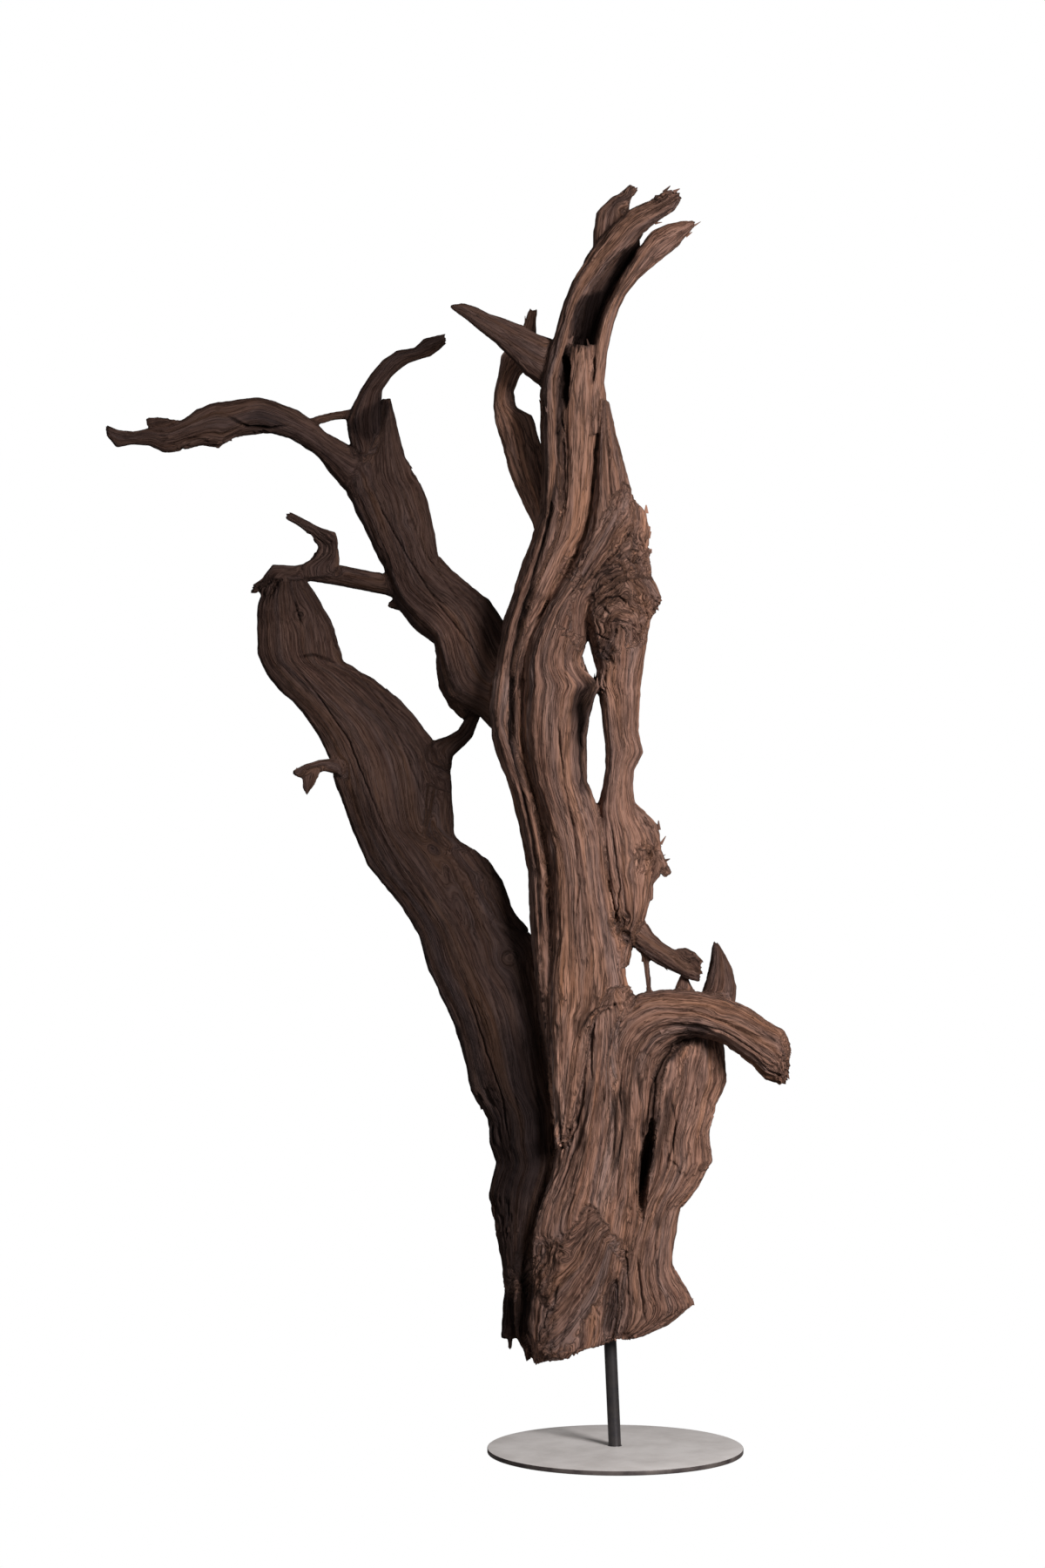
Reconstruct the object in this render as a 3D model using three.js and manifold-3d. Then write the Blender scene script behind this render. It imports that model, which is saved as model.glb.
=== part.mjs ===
// A piece of driftwood on a steel stand: a round plate, a leaning round rod, and one grown piece of
// wood whose limbs are lofted through ribs and joined. Units are millimetres, +Z is up. The origin is
// the centre of the plate's underside, +X points right and +Y points away from the viewer.
import * as THREE from "three";
import { mergeVertices } from "three/addons/utils/BufferGeometryUtils.js";
import Module from "manifold-3d";

// Driving dimensions of the stand
const PLATE_DIAMETER = 355.6;
const PLATE_THICKNESS = 6.35;
const PLATE_EDGE_BREAK = 0.8;
const PLATE_SIDES = 96;
const ROD_DIAMETER = 17.5;
const ROD_SIDES = 32;
const ROD_FOOT = { x: -0.2, y: 12 };
const ROD_LEAN = { x: -0.0453, y: 0 };
const ROD_LENGTH = 275;
const ROD_CLEARANCE = 0.3;

// Front elevation of the wood. Ribs are drawn on a sheet of 1200 by 1800 units, y down, as seen by an
// eye in front of the stand, so a rib that lies deeper is a little larger than it is drawn.
const SHEET_UNIT = 1.2095;
const SHEET_STAND = { x: 706.5, y: 1661.1 };
const EYE = new THREE.Vector3(-128.8, -5066, 926.9);

// Section of a limb: an oval with fuller corners, and ridges that run along the limb
const SECTION_POWER = 2.3;
const RIDGE_HEIGHT = 0.1;
const RIDGE_WANDER = 0.55;
const DRAW_SEED = 4217;
const THINNEST = 2;
const TANGENT_STEP = 0.01;
const MERGE_DISTANCE = 1e-3;

// Finishes
const WOOD_COLOUR = 0x6b5047;
const STEEL_DARK = 0x45403f;
const STEEL_PLATE = 0xa39d99;
const WOOD_SHEEN = { roughness: 0.85, metalness: 0 };
const ROD_SHEEN = { roughness: 0.45, metalness: 0.7 };
const PLATE_SHEEN = { roughness: 0.5, metalness: 0.7 };

// Each rib is [left x, left y, right x, right y, depth of its middle, thickness]. The first four are
// sheet units, the last two millimetres. A limb's ribs run from its root to its tip.

// The trunk's left strand, which rises to the upper prong
const LEFT_STRAND = [
  [636, 1290, 650, 1290, 12, 40],
  [630, 1235, 652, 1235, 10, 55],
  [620, 1180, 648, 1180, 8, 65],
  [613, 1110, 640, 1110, 6, 70],
  [608, 1055, 634, 1055, 5, 72],
  [606, 1000, 632, 1000, 5, 72],
  [596, 950, 622, 948, 5, 74],
  [587, 914, 614, 912, 5, 75],
  [575, 880, 603, 880, 5, 75],
  [565, 848, 592, 846, 5, 75],
  [562, 815, 588, 815, 5, 75],
  [565, 782, 592, 782, 5, 74],
  [572, 748, 600, 752, 3, 72],
  [578, 712, 608, 720, 2, 70],
  [592, 668, 622, 678, 0, 68],
  [608, 624, 637, 631, 0, 66],
  [620, 588, 646, 590, 0, 64],
  [622, 545, 646, 545, 0, 62],
  [621, 498, 645, 498, 0, 62],
  [620, 455, 645, 456, 0, 60],
  [624, 426, 647, 430, 0, 58],
  [635, 390, 658, 397, -2, 55],
  [644, 356, 664, 366, -4, 52],
  [658, 318, 680, 332, -6, 50],
  [682, 281, 703, 302, -8, 46],
  [700, 261, 721, 288, -10, 42],
  [722, 240, 738, 268, -12, 36],
  [744, 230, 756, 255, -14, 28],
  [763, 218, 774, 243, -16, 20],
  [779, 219, 782, 229, -17, 9],
];

// The curl that stands on the upper prong
const TOP_CURL = [
  [680, 288, 710, 284, 10, 36],
  [681, 264, 713, 266, 13, 32],
  [684, 245, 719, 252, 16, 27],
  [697, 231, 724, 240, 18, 22],
  [710, 221, 724, 231, 19, 16],
  [722, 212, 733, 218, 20, 9],
];

// The trunk's right strand, which rises to the lower prong
const RIGHT_STRAND = [
  [672, 500, 706, 500, 0, 50],
  [672, 468, 699, 472, 0, 48],
  [676, 440, 694, 440, 0, 45],
  [680, 400, 699, 400, 0, 44],
  [688, 370, 705, 372, 0, 43],
  [696, 350, 711, 354, 0, 42],
  [706, 332, 719, 338, -1, 40],
  [718, 308, 733, 320, -2, 38],
  [732, 286, 752, 304, -4, 35],
  [748, 267, 766, 293, -6, 31],
  [766, 257, 779, 283, -8, 26],
  [783, 254, 790, 269, -9, 16],
  [796, 253, 798, 259, -10, 8],
];

// The thin wall behind the hollow at the trunk's top
const HOLLOW_WALL = [
  [652, 530, 690, 530, 12, 10],
  [646, 490, 694, 490, 18, 26],
  [645, 430, 693, 430, 24, 30],
  [648, 390, 698, 390, 26, 28],
  [655, 350, 706, 350, 27, 27],
  [668, 318, 720, 325, 27, 26],
  [690, 293, 734, 300, 25, 22],
  [712, 278, 736, 284, 22, 16],
  [722, 268, 734, 272, 18, 8],
];

// The trunk's middle column, with a broken top inside the hollow
const MIDDLE_COLUMN = [
  [618, 1110, 634, 1110, 10, 60],
  [615, 1020, 632, 1020, 10, 60],
  [606, 945, 626, 945, 10, 60],
  [594, 900, 614, 898, 10, 60],
  [584, 866, 604, 864, 10, 60],
  [577, 826, 602, 826, 10, 60],
  [576, 786, 602, 786, 10, 60],
  [584, 735, 610, 735, 6, 64],
  [596, 700, 626, 708, 4, 64],
  [606, 672, 640, 680, 2, 62],
  [622, 640, 660, 638, 0, 56],
  [636, 600, 676, 600, 0, 52],
  [641, 560, 683, 560, -1, 48],
  [642, 520, 687, 520, -2, 46],
  [642, 480, 688, 480, -4, 44],
  [646, 440, 686, 440, -5, 42],
  [654, 402, 683, 397, -5, 38],
];

// The bright main column, which ends below in a tongue laid over the slab
const MAIN_COLUMN = [
  [638, 1317, 648, 1315, -30, 30],
  [637, 1290, 662, 1290, -22, 58],
  [636, 1260, 672, 1260, -16, 72],
  [634, 1220, 684, 1220, -12, 84],
  [632, 1180, 696, 1178, -10, 92],
  [628, 1140, 722, 1140, -8, 96],
  [628, 1100, 717, 1103, -6, 98],
  [630, 1050, 706, 1050, -5, 98],
  [630, 1000, 697, 1000, -5, 96],
  [622, 950, 692, 950, -5, 95],
  [616, 921, 684, 919, -5, 95],
  [610, 898, 674, 898, -5, 94],
  [604, 870, 673, 870, -5, 94],
  [601, 845, 674, 846, -5, 94],
  [600, 820, 679, 820, -5, 94],
  [600, 802, 683, 801, -5, 94],
  [601, 788, 690, 788, -5, 95],
  [602, 772, 673, 770, -5, 95],
  [603, 755, 668, 755, -5, 95],
  [607, 738, 674, 738, -5, 95],
  [613, 722, 676, 720, -5, 94],
  [628, 692, 684, 690, -6, 92],
  [645, 665, 704, 665, -7, 88],
  [662, 638, 718, 640, -8, 84],
  [674, 604, 734, 600, -8, 78],
  [680, 570, 727, 572, -6, 72],
  [682, 540, 719, 540, -5, 66],
  [686, 500, 708, 500, -4, 56],
  [689, 462, 700, 462, -3, 40],
];

// The trunk's right column with the burl
const RIGHT_COLUMN = [
  [700, 1110, 720, 1110, 2, 60],
  [706, 1082, 728, 1080, 3, 62],
  [706, 1055, 740, 1056, 5, 62],
  [698, 1030, 746, 1032, 5, 62],
  [690, 1000, 750, 1002, 5, 62],
  [685, 960, 746, 962, 5, 62],
  [686, 925, 731, 928, 5, 60],
  [692, 904, 727, 906, 5, 56],
  [695, 882, 728, 884, 5, 54],
  [695, 861, 739, 864, 5, 54],
  [693, 838, 733, 838, 5, 54],
  [690, 815, 734, 815, 5, 56],
  [688, 801, 735, 801, 5, 58],
  [681, 787, 736, 788, 5, 62],
  [684, 769, 738, 770, 4, 66],
  [681, 754, 739, 756, 2, 74],
  [677, 738, 742, 740, -2, 88],
  [670, 712, 748, 712, -6, 104],
  [667, 688, 760, 686, -8, 112],
  [671, 665, 750, 665, -6, 106],
  [680, 640, 746, 642, -2, 92],
  [690, 612, 746, 610, 2, 78],
  [700, 588, 741, 588, 4, 64],
  [708, 566, 725, 570, 4, 48],
];

// The wood behind the seam between the middle and the main column
const SEAM_STRAND = [
  [640, 690, 680, 680, 6, 58],
  [652, 650, 704, 640, 6, 60],
  [664, 600, 712, 600, 6, 56],
  [666, 550, 710, 550, 6, 50],
  [670, 500, 702, 500, 4, 46],
  [676, 450, 696, 450, 2, 36],
];

// The flap of loose wood on the right column, with its spike
const FLAP = [
  [720, 920, 728, 920, 8, 26],
  [722, 934, 740, 930, 9, 36],
  [726, 948, 755, 946, 10, 40],
  [730, 970, 760, 974, 10, 40],
  [735, 992, 767, 993, 10, 36],
  [738, 1014, 751, 1014, 10, 32],
  [738, 1034, 750, 1036, 10, 28],
];
const FLAP_SPIKE = [
  [740, 980, 752, 970, 8, 26],
  [750, 997, 765, 986, 6, 18],
  [763, 1007, 773, 1002, 4, 8],
];

// The slab at the foot, left of the rod
const FOOT_SLAB = [
  [660, 1146, 724, 1134, -8, 84],
  [662, 1168, 742, 1160, -10, 92],
  [660, 1200, 745, 1200, -10, 100],
  [652, 1250, 746, 1250, -10, 106],
  [644, 1300, 744, 1300, -8, 108],
  [634, 1340, 740, 1340, -6, 110],
  [624, 1370, 738, 1370, -4, 112],
  [614, 1400, 736, 1400, -2, 112],
  [610, 1430, 730, 1430, 0, 112],
  [608, 1465, 722, 1465, 0, 110],
  [608, 1500, 716, 1500, 0, 106],
  [606, 1530, 712, 1526, 0, 100],
  [610, 1553, 704, 1538, 0, 90],
  [615, 1565, 688, 1541, 0, 70],
];

// The lobe at the foot, right of the rod
const FOOT_LOBE = [
  [786, 1168, 824, 1180, 0, 56],
  [764, 1206, 832, 1206, 0, 76],
  [756, 1240, 834, 1240, 0, 84],
  [750, 1270, 822, 1268, 0, 88],
  [748, 1300, 814, 1298, 0, 88],
  [744, 1332, 817, 1332, 0, 88],
  [736, 1360, 803, 1360, 0, 90],
  [726, 1390, 781, 1386, 0, 92],
  [716, 1425, 775, 1420, 0, 92],
  [708, 1455, 773, 1452, 0, 92],
  [702, 1480, 788, 1477, 0, 90],
  [698, 1505, 798, 1497, 0, 84],
  [694, 1530, 769, 1519, 0, 76],
  [694, 1536, 738, 1533, 0, 60],
];

// The wood between the slab and the lobe, above and below the pit
const LOBE_BRIDGE = [
  [742, 1196, 800, 1200, -6, 84],
  [728, 1240, 782, 1240, -6, 92],
  [724, 1300, 776, 1300, -5, 94],
  [720, 1360, 764, 1360, -4, 94],
  [708, 1420, 752, 1420, -2, 92],
  [706, 1460, 742, 1460, 0, 80],
];

// The big arm that leaves the slab, turns over to the right and ends broken off
const BIG_ARM = [
  [676, 1400, 736, 1395, -6, 70],
  [680, 1340, 742, 1335, -10, 84],
  [682, 1290, 746, 1285, -13, 92],
  [682, 1235, 748, 1240, -16, 96],
  [690, 1188, 754, 1214, -18, 98],
  [708, 1156, 766, 1202, -20, 98],
  [734, 1140, 784, 1192, -22, 96],
  [766, 1136, 802, 1188, -26, 92],
  [800, 1138, 820, 1192, -32, 86],
  [830, 1144, 838, 1200, -40, 80],
  [856, 1155, 852, 1212, -48, 74],
  [880, 1171, 866, 1225, -56, 68],
  [899, 1183, 880, 1240, -62, 60],
  [907, 1198, 894, 1243, -66, 48],
  [905, 1216, 903, 1242, -68, 28],
];

// The horn on the big arm
const HORN = [
  [802, 1152, 845, 1156, -8, 50],
  [809, 1126, 846, 1132, -4, 42],
  [815, 1104, 841, 1112, 2, 32],
  [817, 1090, 833, 1096, 6, 22],
  [819, 1083, 825, 1083, 9, 9],
];

// The twig that leaves the right column, with its knob, hanging end and the stub under it
const RIGHT_TWIG = [
  [694, 1074, 728, 1044, 0, 44],
  [714, 1082, 741, 1058, -4, 40],
  [728, 1088, 750, 1071, -8, 34],
  [741, 1099, 761, 1081, -13, 29],
  [756, 1108, 773, 1089, -18, 26],
  [772, 1116, 785, 1095, -23, 24],
  [788, 1124, 796, 1104, -28, 20],
  [802, 1127, 806, 1112, -31, 12],
];
const TWIG_KNOB = [
  [769, 1102, 778, 1088, -14, 16],
  [781, 1106, 789, 1088, -19, 20],
  [794, 1111, 798, 1093, -24, 18],
  [805, 1111, 806, 1101, -28, 10],
];
const HANGING_TWIG = [
  [734, 1090, 748, 1094, -9, 12],
  [737, 1104, 746, 1106, -12, 9],
  [740, 1118, 747, 1118, -15, 8],
  [741, 1132, 749, 1132, -18, 8],
  [742, 1146, 750, 1146, -20, 9],
];
const ARM_STUB = [
  [772, 1146, 804, 1146, -18, 30],
  [777, 1130, 792, 1128, -16, 20],
  [782, 1118, 789, 1118, -15, 9],
];

// The left limb, from the foot up to its paddle-shaped end
const LEFT_LIMB = [
  [575, 1533, 608, 1540, 26, 46],
  [579, 1480, 612, 1482, 28, 58],
  [575, 1440, 620, 1440, 30, 66],
  [566, 1400, 640, 1400, 32, 72],
  [561, 1370, 652, 1372, 34, 76],
  [570, 1334, 660, 1336, 36, 78],
  [562, 1312, 662, 1308, 38, 80],
  [560, 1284, 662, 1276, 40, 80],
  [540, 1252, 656, 1240, 44, 80],
  [535, 1224, 648, 1204, 48, 80],
  [523, 1180, 642, 1156, 52, 78],
  [507, 1146, 634, 1118, 57, 76],
  [491, 1112, 622, 1086, 62, 74],
  [481, 1074, 600, 1064, 67, 72],
  [462, 1043, 588, 1040, 72, 70],
  [442, 1018, 577, 1010, 76, 68],
  [422, 994, 561, 986, 80, 66],
  [408, 962, 536, 974, 85, 64],
  [398, 935, 522, 958, 89, 62],
  [387, 905, 520, 922, 93, 61],
  [378, 873, 518, 884, 97, 60],
  [366, 845, 498, 850, 100, 58],
  [348, 818, 480, 826, 103, 56],
  [325, 796, 456, 800, 105, 54],
  [306, 774, 430, 780, 106, 52],
  [296, 750, 394, 759, 106, 50],
  [295, 716, 385, 722, 104, 50],
  [296, 696, 374, 702, 102, 50],
  [300, 678, 362, 680, 100, 44],
  [311, 664, 351, 665, 98, 32],
];

// The shoulder of the left limb
const LIMB_SHOULDER = [
  [500, 1104, 612, 1096, 62, 50],
  [500, 1068, 606, 1066, 66, 62],
  [500, 1030, 588, 1043, 70, 60],
  [490, 1000, 575, 1011, 74, 58],
  [470, 968, 552, 980, 80, 54],
  [470, 936, 521, 962, 86, 48],
  [480, 900, 519, 912, 92, 40],
];

// Thin broken fins at the left limb's foot
const FOOT_FIN = [
  [588, 1440, 622, 1440, 14, 40],
  [586, 1490, 612, 1490, 8, 40],
  [590, 1530, 612, 1530, 4, 34],
  [600, 1548, 614, 1546, 2, 26],
  [604, 1562, 612, 1556, 2, 12],
];
const FOOT_SPLINTER = [
  [580, 1510, 592, 1510, 16, 20],
  [583, 1535, 589, 1535, 14, 12],
  [584, 1549, 587, 1549, 13, 6],
];

// The middle limb, which leaves the trunk's back and rises to the left
const MIDDLE_LIMB = [
  [600, 900, 640, 890, 34, 56],
  [573, 845, 634, 836, 42, 60],
  [549, 821, 614, 775, 52, 62],
  [514, 804, 596, 745, 62, 62],
  [504, 770, 580, 715, 72, 62],
  [498, 740, 561, 688, 82, 60],
  [478, 724, 543, 674, 90, 58],
  [459, 702, 522, 657, 98, 56],
  [448, 678, 504, 638, 104, 55],
  [439, 650, 501, 618, 110, 54],
  [424, 620, 495, 590, 115, 53],
  [408, 588, 488, 566, 120, 52],
  [396, 559, 478, 546, 124, 50],
  [403, 530, 466, 524, 127, 46],
  [412, 512, 461, 506, 130, 42],
  [424, 494, 457, 490, 132, 36],
  [432, 474, 453, 474, 133, 26],
  [438, 459, 448, 458, 134, 12],
];

// The lobe below the middle limb and the link that ties it to the left limb
const MIDDLE_LOBE = [
  [502, 736, 540, 724, 80, 44],
  [500, 762, 548, 760, 78, 48],
  [504, 790, 554, 786, 76, 46],
  [516, 812, 556, 806, 72, 38],
  [530, 826, 552, 820, 70, 20],
];
const LIMB_LINK = [
  [534, 812, 556, 808, 70, 26],
  [534, 825, 552, 822, 74, 22],
  [526, 838, 543, 846, 80, 20],
  [512, 846, 532, 858, 86, 22],
  [498, 850, 521, 868, 92, 30],
  [486, 864, 518, 886, 96, 38],
];

// The long arm that reaches left from the middle limb
const LONG_ARM = [
  [420, 600, 462, 560, 122, 46],
  [396, 564, 442, 528, 128, 46],
  [382, 546, 415, 516, 128, 44],
  [366, 526, 396, 508, 126, 40],
  [348, 514, 376, 498, 122, 38],
  [332, 503, 362, 484, 117, 36],
  [318, 500, 343, 471, 111, 36],
  [303, 499, 320, 462, 104, 36],
  [288, 500, 297, 455, 97, 34],
  [270, 504, 279, 458, 89, 34],
  [251, 516, 262, 460, 81, 34],
  [232, 512, 243, 463, 74, 32],
  [216, 516, 226, 470, 68, 30],
  [203, 520, 212, 480, 62, 26],
  [187, 520, 197, 487, 56, 22],
  [171, 512, 174, 491, 48, 18],
  [150, 511, 153, 495, 40, 15],
  [134, 514, 136, 493, 34, 12],
  [124, 502, 122, 488, 30, 8],
];
const LONG_ARM_RIDGE = [
  [214, 500, 216, 484, 64, 14],
  [196, 496, 197, 480, 56, 12],
  [180, 494, 179, 478, 50, 10],
  [169, 490, 168, 479, 46, 6],
];

// The curled arm at the top of the middle limb
const CURLED_ARM = [
  [404, 522, 446, 518, 122, 30],
  [399, 498, 440, 500, 120, 28],
  [397, 484, 438, 480, 118, 26],
  [403, 468, 438, 461, 116, 24],
  [414, 446, 440, 448, 113, 22],
  [425, 429, 450, 433, 109, 20],
  [439, 413, 460, 424, 105, 18],
  [456, 402, 470, 417, 101, 15],
  [476, 399, 482, 413, 97, 12],
  [487, 388, 494, 410, 94, 11],
  [501, 385, 505, 402, 91, 9],
  [510, 383, 512, 395, 89, 6],
];

// The thin twig from the curled arm back to the long arm
const CROSS_TWIG = [
  [408, 468, 408, 481, 120, 11],
  [393, 471, 395, 482, 120, 10],
  [380, 473, 383, 483, 120, 10],
  [364, 477, 368, 487, 119, 11],
  [350, 482, 356, 496, 118, 14],
];

// The side branch of the middle limb, its stub, and the twig that stands on it
const SIDE_BRANCH = [
  [486, 694, 478, 656, 98, 34],
  [462, 690, 456, 662, 102, 28],
  [440, 683, 436, 657, 105, 24],
  [415, 678, 415, 653, 107, 22],
  [390, 673, 388, 648, 108, 21],
  [365, 669, 362, 646, 108, 20],
  [340, 666, 338, 649, 106, 19],
  [318, 670, 313, 648, 104, 18],
  [302, 681, 300, 664, 102, 14],
  [289, 682, 291, 671, 100, 9],
];
const BRANCH_STUB = [
  [470, 708, 466, 686, 102, 20],
  [457, 701, 453, 687, 104, 14],
  [446, 698, 446, 690, 106, 8],
];
const STANDING_TWIG = [
  [346, 662, 388, 660, 104, 20],
  [344, 650, 390, 648, 100, 18],
  [358, 640, 391, 640, 96, 16],
  [364, 628, 390, 624, 93, 14],
  [355, 615, 387, 611, 90, 13],
  [346, 607, 370, 606, 88, 12],
  [339, 602, 357, 599, 86, 10],
  [330, 597, 343, 592, 84, 9],
  [328, 593, 334, 588, 83, 6],
];

// The small twig on the left limb, with its hanging scrap
const LIMB_TWIG = [
  [400, 902, 396, 868, 88, 26],
  [386, 890, 382, 870, 84, 20],
  [372, 886, 366, 872, 78, 16],
  [356, 892, 350, 877, 72, 14],
  [342, 893, 335, 885, 66, 8],
];
const HANGING_SCRAP = [
  [344, 884, 370, 880, 70, 9],
  [346, 894, 366, 892, 68, 8],
  [347, 904, 361, 902, 66, 7],
  [350, 912, 355, 911, 65, 5],
];

// The back branch, which leaves the trunk behind the left strand
const BACK_BRANCH = [
  [622, 640, 650, 630, 34, 44],
  [612, 606, 642, 598, 42, 40],
  [602, 580, 634, 570, 50, 36],
  [590, 556, 630, 545, 56, 34],
  [583, 534, 626, 525, 61, 32],
  [576, 508, 621, 510, 65, 30],
  [569, 486, 611, 477, 68, 28],
  [566, 468, 593, 467, 70, 26],
  [567, 449, 590, 449, 72, 25],
  [572, 430, 598, 430, 74, 24],
  [576, 409, 606, 424, 76, 23],
  [587, 393, 614, 402, 78, 20],
  [600, 376, 616, 386, 80, 16],
  [604, 366, 616, 370, 82, 12],
  [607, 356, 617, 357, 83, 7],
];

// The arm that leaves the trunk in front of the back branch
const UPPER_ARM = [
  [638, 452, 658, 388, 6, 40],
  [622, 444, 636, 390, 6, 36],
  [604, 432, 618, 384, 4, 32],
  [586, 411, 600, 373, 0, 28],
  [569, 395, 580, 366, -5, 23],
  [552, 381, 562, 360, -11, 18],
  [537, 369, 547, 352, -17, 14],
  [525, 360, 533, 348, -22, 10],
  [517, 352, 520, 350, -25, 6],
];

// Strands at the back of the trunk, which the front hides
const BACK_FOOT = [
  [628, 1520, 690, 1520, 30, 30],
  [620, 1480, 700, 1480, 42, 60],
  [616, 1430, 708, 1430, 46, 74],
  [620, 1370, 716, 1370, 48, 80],
  [626, 1300, 716, 1300, 48, 82],
  [626, 1230, 710, 1230, 48, 80],
  [622, 1160, 700, 1160, 48, 76],
  [618, 1090, 690, 1090, 46, 70],
  [612, 1020, 676, 1020, 44, 66],
  [606, 950, 664, 950, 40, 58],
  [600, 890, 648, 890, 30, 30],
];
const BACK_STRAND = [
  [620, 960, 664, 960, 20, 20],
  [604, 910, 664, 910, 32, 52],
  [592, 850, 656, 850, 38, 62],
  [588, 790, 654, 790, 36, 60],
  [596, 735, 660, 735, 32, 56],
  [618, 680, 678, 680, 28, 50],
  [640, 630, 702, 630, 22, 46],
  [652, 580, 708, 580, 18, 40],
  [654, 530, 704, 530, 12, 30],
  [656, 480, 694, 480, 6, 12],
];
const BACK_LOBE = [
  [726, 1180, 796, 1180, 16, 20],
  [718, 1230, 800, 1230, 30, 54],
  [714, 1300, 790, 1300, 34, 62],
  [710, 1370, 776, 1370, 34, 62],
  [706, 1430, 764, 1430, 30, 58],
  [706, 1490, 762, 1490, 18, 36],
];

// Hollows and gaps that are cut into the joined wood
const SLAB_PIT = [
  [746, 1286, 752, 1286, -62, 40],
  [740, 1308, 753, 1306, -62, 86],
  [734, 1334, 749, 1330, -60, 96],
  [733, 1360, 745, 1360, -60, 92],
  [732, 1384, 742, 1384, -60, 76],
  [735, 1406, 739, 1406, -58, 30],
];
const ARM_GROOVE = [
  [784, 1196, 796, 1190, -62, 30],
  [768, 1212, 780, 1206, -62, 34],
  [757, 1228, 768, 1224, -62, 34],
  [750, 1250, 758, 1248, -62, 30],
  [748, 1272, 756, 1272, -62, 26],
  [750, 1292, 754, 1292, -62, 20],
];
const ROD_RECESS = [
  [707, 1462, 711, 1462, -52, 30],
  [699, 1485, 713, 1484, -52, 52],
  [694, 1510, 713, 1510, -52, 60],
  [690, 1530, 711, 1530, -50, 58],
  [688, 1550, 710, 1548, -48, 50],
];
const FOOT_VALLEY = [
  [602, 1415, 614, 1415, -24, 30],
  [597, 1450, 613, 1450, -24, 56],
  [592, 1490, 613, 1490, -24, 60],
  [590, 1520, 608, 1520, -24, 58],
  [592, 1545, 606, 1545, -24, 54],
];
const TWIG_PIT = [
  [711, 1064, 717, 1064, -42, 30],
  [711, 1074, 726, 1072, -42, 50],
  [712, 1084, 726, 1084, -42, 50],
  [716, 1094, 722, 1094, -42, 30],
];
const BACK_HOLLOW = [
  [650, 1330, 668, 1330, 98, 30],
  [644, 1270, 678, 1270, 98, 60],
  [646, 1200, 676, 1200, 98, 62],
  [650, 1140, 668, 1140, 96, 30],
];

// A limb is its ribs, the number of sides of its section, the spacing of its rings, and how ragged
// its two ends are.
const LIMBS = [
  { ribs: MAIN_COLUMN, sides: 14, spacing: 54, ragged: [4, 3] },
  { ribs: LEFT_STRAND, sides: 10, spacing: 60, ragged: [4, 2] },
  { ribs: MIDDLE_COLUMN, sides: 10, spacing: 66, ragged: [4, 9] },
  { ribs: RIGHT_STRAND, sides: 10, spacing: 45, ragged: [4, 2] },
  { ribs: HOLLOW_WALL, sides: 8, spacing: 54, ragged: [2, 2] },
  { ribs: TOP_CURL, sides: 10, spacing: 30, ragged: [2, 2] },
  { ribs: RIGHT_COLUMN, sides: 14, spacing: 48, ragged: [4, 2] },
  { ribs: SEAM_STRAND, sides: 8, spacing: 66, ragged: [2, 2] },
  { ribs: FLAP, sides: 10, spacing: 36, ragged: [2, 5] },
  { ribs: FLAP_SPIKE, sides: 6, spacing: 45, ragged: [2, 2] },
  { ribs: FOOT_SLAB, sides: 16, spacing: 60, ragged: [4, 4] },
  { ribs: FOOT_LOBE, sides: 14, spacing: 54, ragged: [4, 6] },
  { ribs: LOBE_BRIDGE, sides: 8, spacing: 66, ragged: [2, 2] },
  { ribs: BIG_ARM, sides: 14, spacing: 51, ragged: [6, 2] },
  { ribs: HORN, sides: 10, spacing: 36, ragged: [2, 2] },
  { ribs: RIGHT_TWIG, sides: 10, spacing: 36, ragged: [2, 3] },
  { ribs: TWIG_KNOB, sides: 8, spacing: 24, ragged: [2, 2] },
  { ribs: HANGING_TWIG, sides: 6, spacing: 30, ragged: [1, 1] },
  { ribs: ARM_STUB, sides: 8, spacing: 27, ragged: [2, 2] },
  { ribs: LEFT_LIMB, sides: 16, spacing: 57, ragged: [8, 2] },
  { ribs: LIMB_SHOULDER, sides: 12, spacing: 54, ragged: [4, 4] },
  { ribs: FOOT_FIN, sides: 8, spacing: 45, ragged: [3, 3] },
  { ribs: FOOT_SPLINTER, sides: 6, spacing: 45, ragged: [1, 1] },
  { ribs: MIDDLE_LIMB, sides: 14, spacing: 51, ragged: [4, 2] },
  { ribs: MIDDLE_LOBE, sides: 10, spacing: 39, ragged: [2, 2] },
  { ribs: LIMB_LINK, sides: 8, spacing: 27, ragged: [2, 2] },
  { ribs: LONG_ARM, sides: 10, spacing: 39, ragged: [4, 2] },
  { ribs: LONG_ARM_RIDGE, sides: 6, spacing: 36, ragged: [1, 1] },
  { ribs: CURLED_ARM, sides: 10, spacing: 36, ragged: [2, 2] },
  { ribs: CROSS_TWIG, sides: 6, spacing: 30, ragged: [1, 1] },
  { ribs: SIDE_BRANCH, sides: 10, spacing: 45, ragged: [2, 2] },
  { ribs: BRANCH_STUB, sides: 6, spacing: 30, ragged: [2, 2] },
  { ribs: STANDING_TWIG, sides: 8, spacing: 27, ragged: [2, 2] },
  { ribs: LIMB_TWIG, sides: 8, spacing: 33, ragged: [2, 2] },
  { ribs: HANGING_SCRAP, sides: 6, spacing: 24, ragged: [2, 1] },
  { ribs: BACK_BRANCH, sides: 12, spacing: 45, ragged: [2, 2] },
  { ribs: UPPER_ARM, sides: 10, spacing: 39, ragged: [2, 2] },
  { ribs: BACK_FOOT, sides: 10, spacing: 90, ragged: [6, 4] },
  { ribs: BACK_STRAND, sides: 8, spacing: 81, ragged: [4, 4] },
  { ribs: BACK_LOBE, sides: 8, spacing: 90, ragged: [4, 4] },
];
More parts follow.
